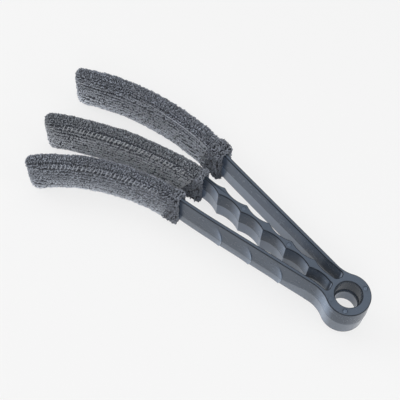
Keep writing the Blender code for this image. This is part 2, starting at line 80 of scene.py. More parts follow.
# Hanging ring, and the pin marks in the top: angle round the ring, depth
RING_RADIUS = 0.0138
HOLE_RADIUS = 0.00845
LIP_WIDTH = 0.0011
LIP_HEIGHT = 0.0015
LIP_SIDES = 96
HOLE_WALL = 0.0033
NECK_FILLET = 0.0194
RING_MARKS = ((58.0, 0.3), (117.0, 1.0), (-117.0, 1.0))
MARK_RADIUS = 0.0016
MARK_DEPTH = 0.00042
MARK_SIDES = 28
# Rings of a mark from its edge inwards: share of the radius, share of the depth, and a painted highlight,
# how pale the raised middle is painted
MARK_RINGS = ((1.0, 0.0, 0.0), (0.95, -0.65, 0.0), (0.86, -1.0, 0.0), (0.74, -0.80, 0.10),
              (0.60, -0.30, 0.22), (0.40, -0.12, 0.16), (0.20, -0.08, 0.08))

# Middle arm: a spine with scallops down both sides, marked on two of its cusps
SPINE_OFFSET = -0.0011
SPINE_REACH = 0.006
SCALLOP_COUNT = 5
SCALLOP_PITCH = 0.0183
SCALLOP_DEPTH = 0.0021
SPINE_WAIST = 0.0023
FIRST_SCALLOP = 0.0105
CUSP_ROUND = 0.0007
MARKED_CUSPS = (2, 4)
CUSP_MARK = 0.8

# Outer arms, with finger pads that start with a step and fade out behind it
ARM_THICKNESS = 0.0023
HALF_WIDTH = ARM_THICKNESS / 2 + DRAFT
PIVOT_REACH = 0.020
STUB_LENGTH = 0.0030
ROOT_FADE = 0.014
BEND_END = 0.036
PAD_PITCH = 0.0224
PADS = tuple(0.0195 + PAD_PITCH * number for number in range(3))
PADS_START = 0.012
PADS_END = PADS[-1] + PAD_PITCH
STATION_STEPS = (0.0015, 0.0008, 0.0016)
PAD_ROOM = (-0.0006, 0.0010)
PAD_STATIONS = (-0.0005, -0.00012, 0.0, 0.00012, 0.00022, 0.0005, 0.0009)
PAD_RADIUS = 0.0220
PAD_DROP = 0.0045
PAD_RISE = 0.0007
PAD_STEP = 0.00022
PAD_FADE = 0.0034
PAD_TOP = 0.0105
GAP_END_ROUND = 0.0016
SLOT_END_ROUND = 0.0036
BLADE_HEIGHT = 0.0226
BLADE_STEP = 0.0018
BLADE_STEP_START = 0.0004

# Light and shade painted into the plastic's colour through a vertex attribute. Up to 1 it is
# painted light: on faces turned towards the blades and on the finger pads, where side light
# falls, and on the spine, the outer arms' inner faces and feet and low in the hole, most on the
# lower halves, where the white floor lights them; the ring's top is a touch paler. Below 0 it is
# painted shade: dark lines along the edges and the parting line, and high in the hole.
EDGE_SHADE = -0.80
CREASE_SHADE = -0.35
HOLE_SHADE = -0.30
HOLE_PAINTED_LIGHT = 0.9
RING_TOP_PALE = 0.03
FACE_PAINTED_LIGHT = 0.7
SPINE_PAINTED_LIGHT = 1.3
SPINE_UPPER_PAINTED_LIGHT = 0.06
SPINE_LOWER_PAINTED_LIGHT = 0.48
PAD_PAINTED_LIGHT = 0.62
FOOT_PAINTED_LIGHT = 0.22
INNER_PAINTED_LIGHT = 0.26
INNER_LOWER_PAINTED_LIGHT = 0.50

# Sleeves
SLEEVE_HEIGHT = 0.0286
SLEEVE_EDGE = 0.0026
SLEEVE_CLEARANCE = 0.0003
POCKET_WIDTH = HALF_WIDTH * 2 + 2 * SLEEVE_CLEARANCE
TIP_WALL = 0.0050
TIP_ROUND = 0.0024
TIP_LOW_ROUND = 0.0062
TIP_CORNER = 0.0005
TIP_ANGLES = (20, 40, 58, 72, 84)
TIP_SHARES = (0.70, 0.42, 0.16)
RING = 60
CLOTH_STEP = 0.0018
CLOTH_FULLER = -0.0008
CLOTH_BULGE = 0.0004
FLOOR_CLEARANCE = 0.00006

# Settling of the cloth: its scale in the simulation, frames, how it is held, and the most
# it may swell
SETTLING_SCALE = 10
SETTLING_FRAMES = 16
SEAM_HOLD = 0.0012
TIP_HOLD = 0.6
LEAST_HOLD = 0.05
CLOTH_CAP = 0.0011
CLOTH_SETTINGS = {"quality": 6, "mass": 0.3, "tension_stiffness": 18, "compression_stiffness": 12,
                  "shear_stiffness": 8, "bending_stiffness": 2.0, "use_pressure": True,
                  "uniform_pressure_force": 4.0, "vertex_group_mass": "held"}

# Dents of the cloth, as cells along and round and a size, and puckers along its seams
DENTS = (((14, 7), 0.00030), ((44, 20), 0.00012))
PUCKER_BAND = 0.0008
PUCKER_DEPTH = 0.00020
PUCKER_WAVE = 0.00012
PUCKER_TURN = 2.1

# Faces that the next sleeve is squeezed against: how far in, and how much lower their loops
PRESSED_IN = 0.0010
PRESSED_PILE = 0.50

# Cuffs
CUFF_FULLER = 0.0010
CUFF_RISE = 0.0008
CUFF_LUMPS = 0.00045
CUFF_LOOP_PITCH = 0.00155
CUFF_LOOP_SPACING = 0.00150
CUFF_LOOP_STEP = 0.00042
CUFF_LOOP_KNOTS = 8
CUFF_LOOP_HEIGHTS = (0.0006, 0.0013)
CUFF_LOOP_RADII = (0.00032, 0.00042)
CUFF_LOOP_SINK = 0.0002
CUFF_ROLL = 0.0016
CUFF_ANGLES = (20, 50, 80, 110, 140, 165)
HEM_TURN = 0.0006

# Pile: rows run along the sleeve, closer on its narrow faces and beside the seam
ROW_PITCH = 0.0029
NARROW_PITCH = 0.00130
SEAM_PITCH = 0.0015
SEAM_BAND = 0.004
NARROW_BAND = 0.0012
LOOP_PITCH = 0.00122
NARROW_LOOP_PITCH = 0.00110
LOOP_HEIGHT = 0.00122
LOOP_WIDTH = 0.00092
LOOP_DROOP = 0.00060
LOOP_SINK = 0.0003
LOW_RISE = 0.0006
EDGE_RISE = 0.0004
TOP_DROP = 0.00030
LOOP_LEAN_AHEAD = 0.00030
LOOP_LEAN_ACROSS = 0.00025
LOOP_JITTER = 0.00009
LOOP_WANDER = 0.24
YARN_RADIUS = 0.00045
SEED = 20

# Stitches and seam cords
STITCH_PITCH = 0.0028
STITCH_LENGTH = 0.0012
STITCH_RADIUS = 0.00048
STITCH_END = 0.010
STITCH_SLANT = 2.3
CORD_RADIUS = 0.00030
BORDER_RADIUS = 0.00034
CORD_PROUD = 0.0016
BORDER_PROUD = 0.0015
FAR_CORD_END = 0.56
RIM_END = 0.80

# An arm in plan: its side, where its straight root crosses the pivot, its heading there, its
# runs (length, turn in degrees), and its blade: radius of the curve, length and thickness of
# the sleeve, and the length of the cuff along the top and the bottom. Last is its body.
Arm = namedtuple("Arm", "side root heading runs radius sleeve thick cuff_top cuff_low body")
ARMS = {
    "left": Arm(1, 0.0081, 7.8, ((0.072, 0.0), (0.026, -3.2)),
                0.1300, 0.1028, 0.0102, 0.0045, 0.0100, "arm_left"),
    "middle": Arm(0, SPINE_OFFSET, 0.0, ((0.082, 0.0), (0.0065, -5.0), (0.0085, 10.0)),
                  0.2155, 0.1115, 0.0110, 0.0025, 0.0165, "handle"),
    "right": Arm(-1, -0.01004, -7.27, ((0.084, 0.0), (0.015, -1.8)),
                 0.1765, 0.1175, 0.0102, 0.0095, 0.0160, "arm_right"),
}

# Colours
# Plastic above and below the parting line: the lower is painted paler, as painted light from the white floor
PLASTIC_UPPER = (0.060, 0.077, 0.105)
PLASTIC_LOWER_PAINTED_LIGHT = (0.100, 0.124, 0.164)
# Painted floor light on the yarn: a pale tone's shares at heights above the floor, given as shares of
# TERRY_TOP, from the foot up
TERRY_TOP = 0.030
PAINTED_LIGHT_STOPS = (0.0, 0.20, 0.45, 0.84, 0.96)
# Each sleeve's terry: tone, pale tone and the pale tone's shares of painted floor light; the middle and
# right sleeves, which their neighbours shade, are painted paler further up
TERRY = {
    "left": ((0.219, 0.239, 0.281), (0.78, 0.82, 0.90), (1.0, 0.54, 0.24, 0.10, 0.0)),
    "middle": ((0.210, 0.228, 0.255), (0.78, 0.81, 0.87), (1.0, 1.0, 0.66, 0.26, 0.0)),
    "right": ((0.216, 0.236, 0.278), (0.78, 0.82, 0.90), (1.0, 0.95, 0.48, 0.24, 0.0)),
}
THREAD = {"left": (0.30, 0.32, 0.36), "middle": (0.37, 0.385, 0.41), "right": (0.37, 0.392, 0.435)}
# Pale tone and shares of painted floor light for the threads, and for the low loops, the cloth and the cuffs
THREAD_PAINTED_PALE = (0.70, 0.73, 0.78)
THREAD_PAINTED_LIGHT = (0.8, 0.8, 0.3, 0.1, 0.0)
LOW_PAINTED_LIGHT = (0.5, 0.3, 0.15, 0.08, 0.0)

# Stage: lamps as place, size and power, all aimed at the brush
FLOOR_GLOW = 0.80
FLOOR_REACH = 4.0
FLOOR_DROP = 0.0004
DIM_SIDE = (-0.616, 0.788, 0.0)
PALE = (0.93, 0.93, 0.93, 1.0)
LAMPS = {
    "overhead softbox": ((0.30, -0.38, 1.15), (1.0, 1.0), 4.2),
    "left softbox": ((0.74, 0.19, 0.60), (0.6, 0.6), 3.4),
    "right softbox": ((-0.78, -0.30, 0.50), (0.7, 0.7), 3.0),
    "front softbox": ((-0.47, 0.61, 0.92), (0.8, 0.8), 6.0),
    "low fill": ((-0.50, 0.75, 0.16), (1.2, 0.25), 0.9),
}
FOCAL_PIXELS = 956.66
FRAME_PIXELS = 400
SENSOR = 36.0

pivot_joint = next(joint for joint in frame["joints"] if joint["name"] == "flex_left")
OFFSET = Vector(pivot_joint["pos_m"]) - Vector((PIVOT_REACH, ARMS["left"].root, 0.0))
FLOOR_Z = -OFFSET.z


# Plan geometry

def heading_vector(heading):
    return Vector((cos(radians(heading)), sin(radians(heading))))


def left_of(direction):
    return Vector((-direction.y, direction.x))


def smooth_step(share):
    return share * share * (3 - 2 * share)


def bell(values):
    return np.exp(-values ** 2)


def clamped(values):
    return np.clip(values, 0, 1)


def gaps(points):
    """Lengths between each row of points and the next."""
    return np.linalg.norm(np.diff(points, axis=0), axis=-1)


def travelled(steps):
    """Distances covered after each step, from 0."""
    return np.concatenate([[0.0], np.cumsum(steps)])


def arc_points(centre, radius, first, last, step=FINE):
    """Points on a circle from one angle to another, in degrees, both ends included."""
    count = max(3, ceil(abs(radians(last - first)) * radius / step))
    angles = [radians(first + (last - first) * i / count) for i in range(count + 1)]
    return [Vector((centre[0] + radius * cos(a), centre[1] + radius * sin(a))) for a in angles]


def rounded_corner(before, corner, after, radius):
    """The arc that rounds one corner of an outline, as points."""
    into = (before - corner).normalized()
    out = (after - corner).normalized()
    half = acos(max(-1.0, min(1.0, into.dot(out)))) / 2
    room = min((before - corner).length, (after - corner).length) * CORNER_SHARE
    radius = min(radius, room * sin(half) / cos(half))
    centre = corner + (into + out).normalized() * (radius / sin(half))
    first = corner + into * (radius * cos(half) / sin(half))
    last = corner + out * (radius * cos(half) / sin(half))
    start = atan2(first.y - centre.y, first.x - centre.x)
    sweep = atan2(last.y - centre.y, last.x - centre.x) - start
    sweep = (sweep + pi) % (2 * pi) - pi
    return arc_points(centre, radius, degrees(start), degrees(start + sweep), FINE / 2)


class Line:
    """Centre line of an arm and its blade, measured from the pivot and run on past the blade."""

    STEP = 0.00025

    def __init__(self, arm):
        point, heading = Vector((PIVOT_REACH, arm.root)), arm.heading
        blade = arm.sleeve * 1.1
        self.blade_start = sum(length for length, _ in arm.runs)
        places, headings = [tuple(point)], [heading]
        for length, turn in arm.runs + ((blade, degrees(blade / arm.radius)),):
            count = ceil(length / self.STEP)
            for _ in range(count):
                point = point + heading_vector(heading + turn / count / 2) * (length / count)
                heading += turn / count
                places.append(tuple(point))
                headings.append(heading)
        self.places = np.array(places)
        self.headings = np.array(headings)
        self.distance = travelled(gaps(self.places))

    def at(self, along, across):
        """Plan points at distances along the line and offsets to its left, as arrays."""
        along = np.asarray(along, float)
        heading = np.radians(np.interp(along, self.distance, self.headings))
        x = np.interp(along, self.distance, self.places[:, 0])
        y = np.interp(along, self.distance, self.places[:, 1])
        short = np.minimum(along, 0.0)
        x = x + short * np.cos(heading)
        y = y + short * np.sin(heading)
        return x - across * np.sin(heading), y + across * np.cos(heading)

    def on_blade(self, along, across, height):
        """Points off the blade's centre line, at distances from its start, as an (n, 3) array."""
        x, y = self.at(np.asarray(along, float) + self.blade_start, across)
        return np.stack(np.broadcast_arrays(x, y, height), axis=-1)


LINES = {name: Line(arm) for name, arm in ARMS.items()}


# Meshes

def add_object(name, data):
    obj = bpy.data.objects.new(name, data)
    bpy.context.scene.collection.objects.link(obj)
    return obj


def mesh_object(name, vertices, faces, material):
    """A smooth mesh from plan coordinates, moved to the row frame."""
    mesh = bpy.data.meshes.new(name)
    vertices = np.asarray(vertices, float) + np.array(OFFSET)
    mesh.from_pydata(vertices.tolist(), [], faces)
    mesh.materials.append(material)
    mesh.shade_smooth()
    return add_object(name, mesh)


def grid_faces(rows, columns, looped=False):
    """Quads of a grid whose rows are rings. The last ring joins the first, or caps close both."""
    total = rows * columns
    faces = []
    for low in range(0, total if looped else total - columns, columns):
        high = (low + columns) % total
        for j in range(columns):
            k = (j + 1) % columns
            faces.append((low + j, low + k, high + k, high + j))
    if not looped:
        faces.append(tuple(range(total - columns, total)))
        faces.append(tuple(reversed(range(columns))))
    return faces


def face_outwards(mesh, merge=True):
    """Turns a closed mesh's faces outwards, after merging vertices that coincide."""
    bm = bmesh.new()
    bm.from_mesh(mesh)
    if merge:
        bmesh.ops.remove_doubles(bm, verts=bm.verts, dist=1e-7)
    bmesh.ops.recalc_face_normals(bm, faces=bm.faces)
    if bm.calc_volume(signed=True) < 0:
        bmesh.ops.reverse_faces(bm, faces=bm.faces)
    bm.to_mesh(mesh)
    bm.free()


def cloth_object(name, vertices, faces, material):
    obj = mesh_object(name, above_floor(vertices), faces, material)
    face_outwards(obj.data)
    obj.data.shade_smooth()
    return obj


def join_rings(bm, rings):
    """Quads between each ring of vertices and the next."""
    for low, high in zip(rings, rings[1:]):
        for i in range(len(low)):
            j = (i + 1) % len(low)
            bm.faces.new((low[i], low[j], high[j], high[i]))


def ring_edges(bm, ring):
    return [bm.edges.get((here, there)) for here, there in zip(ring, ring[1:] + ring[:1])]


# Moulding

def wall_levels(crease=0.0):
    """(inset, height) up the whole wall, with the halves a hair out of line at the crease."""
    levels = []
    for sign in (-1, 1):
        shift = -sign * MISMATCH
        wall = [(shift * (1 - share) + DRAFT * share, crease + (sign * SHOULDER - crease) * share)
                for share in WALL_SHARES]
        for angle in ROUND_ANGLES:
            inset = DRAFT + EDGE_ROUND * (1 - cos(radians(angle)))
            wall.append((inset, sign * (SHOULDER + EDGE_ROUND * sin(radians(angle)))))
        wall.append((RIM_INSET, sign * HANDLE_HEIGHT / 2))
        levels += wall[::sign]
    return levels


def corner_key(point):
    return round(point.x, 7), round(point.y, 7)


def drawn_in(outline, distance, ends):
    """An outline moved into the material, to its left. Corners in ends keep to their arm's side."""
    moved = []
    for before, here, after in zip(outline[-1:] + outline[:-1], outline, outline[1:] + outline[:1]):
        arriving = left_of((here - before).normalized())
        leaving = left_of((after - here).normalized())
        end = ends.get(corner_key(here))
        if end:
            moved.append(here + (arriving if end == "arriving" else leaving) * distance)
        else:
            middle = (arriving + leaving).normalized()
            moved.append(here + middle * (distance / max(0.5, middle.dot(arriving))))
    return moved


def spine_place(x):
    line = LINES["middle"]
    return float(np.interp(x, line.places[:, 0], line.places[:, 1]))


def scallop_side(side):
    """One edge of the spine, from the ring outwards: circular bites between rounded cusps."""
    waist = SPINE_WAIST / 2 + DRAFT
    half_pitch = SCALLOP_PITCH / 2
    radius = (half_pitch ** 2 + SCALLOP_DEPTH ** 2) / (2 * SCALLOP_DEPTH)
    spread = degrees(asin(half_pitch / radius))
    bites = []
    for i in range(SCALLOP_COUNT + 1):
        middle = FIRST_SCALLOP + SCALLOP_PITCH * (i + 0.5)
        last = -90.0 + spread if i < SCALLOP_COUNT else -90.0
        bites.append(arc_points((middle, waist + radius), radius, -90.0 - spread, last))
    points = list(bites[0])
    for bite in bites[1:]:
        cusp = rounded_corner(points[-3], bite[0], bite[2], CUSP_ROUND)
        points = points[:-1] + cusp + bite[1:]
    return [Vector((point.x, spine_place(point.x) + side * point.y)) for point in points]


def neck(arm):
    """Outer edge from the ring through a fillet to the arm's root: its start angle and points."""
    side = arm.side
    direction = heading_vector(arm.heading * side)
    normal = left_of(direction)
    line = normal.dot(Vector((PIVOT_REACH, arm.root * side))) + HALF_WIDTH
    ring = RING_RADIUS + DRAFT
    along = sqrt((ring + NECK_FILLET) ** 2 - (line + NECK_FILLET) ** 2)
    centre = normal * (line + NECK_FILLET) + direction * along
    start = degrees(atan2(centre.y, centre.x))
    points = arc_points(centre, NECK_FILLET, start - 180.0, arm.heading * side - 90.0)
    return start, [Vector((point.x, point.y * side)) for point in points]


def stub(arm):
    """Corners of the short root that the handle carries: outer, inner."""
    direction = heading_vector(arm.heading)
    end = Vector((PIVOT_REACH, arm.root)) + direction * STUB_LENGTH
    across = left_of(direction) * HALF_WIDTH * arm.side
    return end + across, end - across


def gap_end(arm):
    """Inner edge of the stub and the rounded end of the gap, then the spine's edge."""
    _, inner_end = stub(arm)
    wall = HOLE_RADIUS + HOLE_WALL
    root = arm.root - HALF_WIDTH * arm.side
    outer_corner = Vector((sqrt(wall ** 2 - (root * 0.75) ** 2), root))
    cusp = scallop_side(arm.side)
    rounding = GAP_END_ROUND if arm.side > 0 else SLOT_END_ROUND
    first = next(i for i, point in enumerate(cusp) if point.x > wall + rounding)
    spine_corner = Vector((wall, cusp[first].y))
    corner = rounded_corner(inner_end, outer_corner, spine_corner, rounding)
    rounding = min(rounding, abs(spine_corner.y - root) * CORNER_SHARE)
    last = rounded_corner(outer_corner, spine_corner, cusp[first], rounding)
    return corner + last, cusp[first:]


def handle_outline():
    """Ring, scalloped spine with its blade, and the stubs of both outer arms, anticlockwise."""
    left, middle, right = ARMS["left"], ARMS["middle"], ARMS["right"]
    left_start, left_neck = neck(left)
    right_start, right_neck = neck(right)
    ring = arc_points((0.0, 0.0), RING_RADIUS + DRAFT, left_start, 360.0 - right_start)
    right_outer, right_inner = stub(right)
    left_outer, left_inner = stub(left)
    right_gap, right_spine = gap_end(right)
    left_gap, left_spine = gap_end(left)
    line = LINES["middle"]
    blade_end = line.blade_start + (middle.sleeve - TIP_WALL - SLEEVE_CLEARANCE)
    along = np.linspace(right_spine[-1].x - PIVOT_REACH + FINE, blade_end, 150)
    right_edge, left_edge = ([Vector(point) for point in zip(*line.at(along, across))]
                             for across in (-HALF_WIDTH, HALF_WIDTH))
    outline = [left_outer] + left_neck[::-1] + ring[1:-1] + right_neck + [right_outer, right_inner]
    outline += right_gap + right_spine + right_edge
    outline += left_edge[::-1] + left_spine[::-1] + left_gap[::-1] + [left_inner]
    ends = {corner_key(corner): "arriving" for corner in (right_outer, left_inner)}
    ends.update({corner_key(corner): "leaving" for corner in (right_inner, left_outer)})
    return outline, ends


def blade_cut(x, z):
    """Height after the arms step down to blades."""
    start = max(line.at(line.blade_start, 0.0)[0] for line in LINES.values()) + BLADE_STEP_START
    share = clamped((x - start) / BLADE_STEP)
    return z * (1 - share * (1 - BLADE_HEIGHT / HANDLE_HEIGHT))


def pin_marks():
    """Plan places and depths of the round marks that the mould's ejector pins leave in the top."""
    middle = (RING_RADIUS + HOLE_RADIUS) / 2
    marks = [((cos(radians(angle)) * middle, sin(radians(angle)) * middle), deep)
             for angle, deep in RING_MARKS]
    return marks + [((FIRST_SCALLOP + SCALLOP_PITCH * cusp, SPINE_OFFSET), CUSP_MARK)
                    for cusp in MARKED_CUSPS]


def add_mark(bm, place, deep):
    """A round sunk mark with a raised middle. Its outer edges are returned for the top's fill."""
    painted_light = bm.verts.layers.float["painted_light"]
    rings = []
    for radius, depth, pale in MARK_RINGS:
        ring = []
        for i in range(MARK_SIDES):
            angle = 2 * pi * i / MARK_SIDES
            reach = MARK_RADIUS * radius
            ring.append(bm.verts.new((place[0] + reach * cos(angle), place[1] + reach * sin(angle),
                                      HANDLE_HEIGHT / 2 + MARK_DEPTH * depth * deep)))
            # Painted highlight on the raised middle, stronger on the deeper marks
            ring[-1][painted_light] = pale * deep
        rings.append(ring)
    join_rings(bm, rings)
    bm.faces.new(rings[-1])
    return ring_edges(bm, rings[0])


def painted_light_at(point, outward, inward, height):
    """Painted light in the plastic's colour: the spine, faces towards the blades, low in the hole.
    Below 0 it is painted shade: its edges, the parting line and high in the hole."""
    if inward > RIM_INSET - HAIR:
        return RING_TOP_PALE if point.length < RING_RADIUS + DRAFT else 0.0
    if abs(height) > SHOULDER - HAIR:
        return EDGE_SHADE
    if abs(height) < HAIR:
        return CREASE_SHADE
    if point.length < HOLE_RADIUS + DRAFT:
        return HOLE_PAINTED_LIGHT if height < 0 else HOLE_SHADE
    # Painted light on faces turned towards the blades, stronger on the spine, most on its lower half
    painted_level = min(1.0, max(0.0, 2.2 * outward.x)) * FACE_PAINTED_LIGHT
    if point.x > FIRST_SCALLOP and abs(point.y - SPINE_OFFSET) < SPINE_REACH:
        spine = SPINE_UPPER_PAINTED_LIGHT if height > 0 else SPINE_LOWER_PAINTED_LIGHT - height * 12.0
        painted_level = painted_level * SPINE_PAINTED_LIGHT + spine
    return min(painted_level, 1.0)


def add_walls(bm, outline, ends):
    """An outline's walls at all their levels, foot first: the lowest and highest ring."""
    painted_light = bm.verts.layers.float["painted_light"]
    outward = [-left_of((after - before).normalized())
               for before, after in zip(outline[-1:] + outline[:-1], outline[1:] + outline[:1])]
    rows = []
    for inward, height in wall_levels():
        row = []
        for start, point, out in zip(outline, drawn_in(outline, inward, ends), outward):
            vertex = bm.verts.new((point.x, point.y, float(blade_cut(point.x, height))))
            # Painted light and shade for each vertex; the stubs' corners keep only the painted shade
            painted_level = painted_light_at(point, out, inward, height)
            vertex[painted_light] = min(painted_level, 0.0) if corner_key(start) in ends else painted_level
            row.append(vertex)
        rows.append(row)
    join_rings(bm, rows)
    return rows[0], rows[-1]


def add_lip(bm):
    """The lip round the inside of the hanging hole, with eased edges."""
    inner = HOLE_RADIUS - LIP_WIDTH
    outer = HOLE_RADIUS + HOLE_WALL / 3
    half = LIP_HEIGHT / 2
    ease = LIP_HEIGHT / 5
    profile = [(outer, -half), (inner + ease, -half), (inner + ease * 0.3, -half + ease * 0.3),
               (inner, -half + ease), (inner, half - ease), (inner + ease * 0.3, half - ease * 0.3),
               (inner + ease, half), (outer, half)]
    rings = []
    for i in range(LIP_SIDES):
        angle = 2 * pi * i / LIP_SIDES
        rings.append([bm.verts.new((radius * cos(angle), radius * sin(angle), height))
                      for radius, height in profile])
    join_rings(bm, rings + rings[:1])


def finish_halves_painted_light(obj, crease, materials):
    """The two halves: faces below the crease take the second material, glossier and painted paler,
    as painted light from the floor.
    """
    obj.data.materials.clear()
    for material in materials:
        obj.data.materials.append(material)
    for face in obj.data.polygons:
        face.material_index = 1 if face.center.z - OFFSET.z < crease(face) else 0
    obj.data.shade_smooth()
    obj.data.set_sharp_from_angle(angle=radians(SMOOTH_ANGLE))


def make_handle(materials):
    """The handle moulding, with marks in its top and a lip in its hole."""
    bm = bmesh.new()
    # A vertex layer for the light and shade painted into the plastic's colour
    bm.verts.layers.float.new("painted_light")
    hole = arc_points((0.0, 0.0), HOLE_RADIUS - DRAFT, 360.0, 0.0)[:-1]
    feet, tops = [], []
    for outline, ends in (handle_outline(), (hole, {})):
        foot, top = add_walls(bm, outline, ends)
        feet += ring_edges(bm, foot)
        tops += ring_edges(bm, top)
    for place, deep in pin_marks():
        tops += add_mark(bm, place, deep)
    bmesh.ops.triangle_fill(bm, edges=feet, use_beauty=True, normal=(0.0, 0.0, -1.0))
    bmesh.ops.triangle_fill(bm, edges=tops, use_beauty=True, normal=(0.0, 0.0, 1.0))
    bmesh.ops.recalc_face_normals(bm, faces=bm.faces)
    add_lip(bm)
    mesh = bpy.data.meshes.new("handle_moulding")
    bm.to_mesh(mesh)
    bm.free()
    face_outwards(mesh)
    mesh.transform(Matrix.Translation(OFFSET))
    obj = add_object("handle_moulding", mesh)
    finish_halves_painted_light(obj, lambda face: 0.0, materials)
    return obj


def arm_profile():
    """(across, height) round an arm's section, from the outer side's foot up, over and down."""
    outer = [(HALF_WIDTH - inset, height) for inset, height in wall_levels(-PAD_DROP)]
    inner = [(inset - HALF_WIDTH, height) for inset, height in reversed(wall_levels())]
    return outer + inner, len(outer)


def arm_stations(end):
    """Distances along an arm of its sections: close over the pads, closest at their steps."""
    limits = (STUB_LENGTH, PADS_START, PADS_END, end)
    stations = [end]
    for first, last, step in zip(limits, limits[1:], STATION_STEPS):
        stations += list(np.arange(first, last, step))
    for pad in PADS:
        stations = [s for s in stations if not pad + PAD_ROOM[0] < s < pad + PAD_ROOM[1]]
        stations += [pad + offset for offset in PAD_STATIONS]
    return np.array(sorted(stations))


def pad_shift(height):
    """How far a finger pad's round edge lies behind its foremost point, at a height."""
    return PAD_RADIUS - np.sqrt(PAD_RADIUS ** 2 - (height + PAD_DROP) ** 2)


def pad_rise(along, height):
    """How far the finger pads stand out of the arm's outer face."""
    share = smooth_step(clamped((PAD_TOP - height) / PAD_TOP))
    rise = np.zeros_like(along)
    for pad in PADS:
        past = along - pad
        step = clamped(past / PAD_STEP)
        fade = np.exp(-past / PAD_FADE) * clamped(1 - past / PAD_PITCH)
        inside = (past >= 0) & (past < PAD_PITCH)
        rise = np.where(inside, PAD_RISE * fade * step * share, rise)
    return rise


def make_arm(name, materials):
    """An outer arm from its root to its blade's tip, with low finger pads on its outer face."""
    arm, line = ARMS[name], LINES[name]
    stations = arm_stations(line.blade_start + arm.sleeve - TIP_WALL - SLEEVE_CLEARANCE)
    profile, outer_count = arm_profile()
    across, height = np.array(profile).T
    outer = (np.arange(len(profile)) < outer_count).astype(float)
    s = stations[:, None] * np.ones_like(across)
    z = np.ones_like(s) * height
    grown = clamped((s - STUB_LENGTH) / ROOT_FADE)
    calm = grown * clamped((PADS_END + 0.016 - s) / ROOT_FADE)
    along = s + pad_shift(z) * outer * calm
    rise = pad_rise(s, z)
    top = HANDLE_HEIGHT / 2
    lift = np.where(z > -PAD_DROP, (top - z) / (top + PAD_DROP), (top + z) / (top - PAD_DROP))
    z = z + PAD_DROP * (1 - grown) * lift * outer
    x, y = line.at(along, (np.ones_like(s) * across + rise * outer) * arm.side)
    z = blade_cut(x, z)
    vertices = np.stack([x, y, z], axis=-1).reshape(-1, 3)
    obj = mesh_object(f"arm_moulding_{name}", vertices, grid_faces(*s.shape), materials[0])
    # Painted light: pale over the finger pads, the outer face's foot and the inner face, most on its lower
    # half; painted shade along the edges and the parting line; none on the top face
    painted_arm_light = PAD_PAINTED_LIGHT * rise / PAD_RISE * outer
    painted_arm_light += FOOT_PAINTED_LIGHT * outer * clamped((-0.005 - z) / 0.008) ** 1.5
    inner_painted_level = INNER_PAINTED_LIGHT + INNER_LOWER_PAINTED_LIGHT * (z < 0)
    painted_arm_light += inner_painted_level * (1 - outer) * clamped((s - STUB_LENGTH) / 0.020)
    painted_arm_light[:, np.abs(height + PAD_DROP * outer) < HAIR] = CREASE_SHADE
    painted_arm_light[:, np.abs(height) > SHOULDER - HAIR] = EDGE_SHADE
    painted_arm_light[:, HALF_WIDTH - np.abs(across) > RIM_INSET - HAIR] = 0.0
    painted_light = obj.data.attributes.new("painted_light", "FLOAT", "POINT")
    painted_light.data.foreach_set("value", painted_arm_light.reshape(-1).astype(np.float32))
    face_outwards(obj.data)
    start = OFFSET.x + PIVOT_REACH + STUB_LENGTH

    def crease(face):
        if face.normal.y * arm.side < 0:
            return 0.0
        return -PAD_DROP * min(1.0, max(0.0, (face.center.x - start) / ROOT_FADE))

    finish_halves_painted_light(obj, crease, materials)
    return obj


# Materials

class Nodes:
    """Short ways to build the node tree of a material or a world."""

    def __init__(self, owner):
        owner.use_nodes = True
        self.tree = owner.node_tree

    def feed(self, socket, value):
        """Sets a socket to a number or colour, or links an output to it."""
        if isinstance(value, (int, float, tuple)):
            socket.default_value = value
        else:
            self.tree.links.new(value, socket)

    def fill(self, node, values):
        for key, value in values.items():
            self.feed(node.inputs[key], value)

    def add(self, kind, **settings):
        """A new node. A setting is one of its inputs, or else one of its properties."""
        node = self.tree.nodes.new(kind)
        for key, value in settings.items():
            if key in node.inputs:
                self.feed(node.inputs[key], value)
            else:
                setattr(node, key, value)
        return node

    def coordinates(self):
        return self.add("ShaderNodeTexCoord").outputs["Object"]

    def noise(self, where, scale, detail, roughness, distortion=0.0):
        return self.add("ShaderNodeTexNoise", Vector=where, Scale=scale, Detail=detail,
                        Roughness=roughness, Distortion=distortion).outputs["Fac"]

    def ramp(self, source, stops):
        node = self.add("ShaderNodeValToRGB", Fac=source)
        elements = node.color_ramp.elements
        while len(elements) < len(stops):
            elements.new(0.5)
        for element, (place, colour) in zip(elements, stops):
            element.position = place
            element.color = colour if isinstance(colour, tuple) else (colour, colour, colour, 1.0)
        return node.outputs["Color"]

    def mix(self, factor, first, second, mode="MIX"):
        node = self.add("ShaderNodeMix", data_type="RGBA", blend_type=mode)
        for key, value in (("Factor", factor), ("A", first), ("B", second)):
            self.feed(next(s for s in node.inputs if s.name == key and s.enabled), value)
        return next(s for s in node.outputs if s.enabled)

    def mix_shaders(self, factor, first, second):
        node = self.add("ShaderNodeMixShader", Fac=factor)
        self.feed(node.inputs[1], first.outputs[0])
        self.feed(node.inputs[2], second.outputs[0])
        return node.outputs["Shader"]

    def maths(self, operation, first, second):
        node = self.add("ShaderNodeMath", operation=operation)
        self.feed(node.inputs[0], first)
        self.feed(node.inputs[1], second)
        return node.outputs[0]

    def bump(self, height, strength, distance, **before):
        return self.add("ShaderNodeBump", Height=height, Strength=strength, Distance=distance,
                        **before).outputs["Normal"]


def tint(tone, share=1.0):
    return tuple(channel * share for channel in tone) + (1.0,)


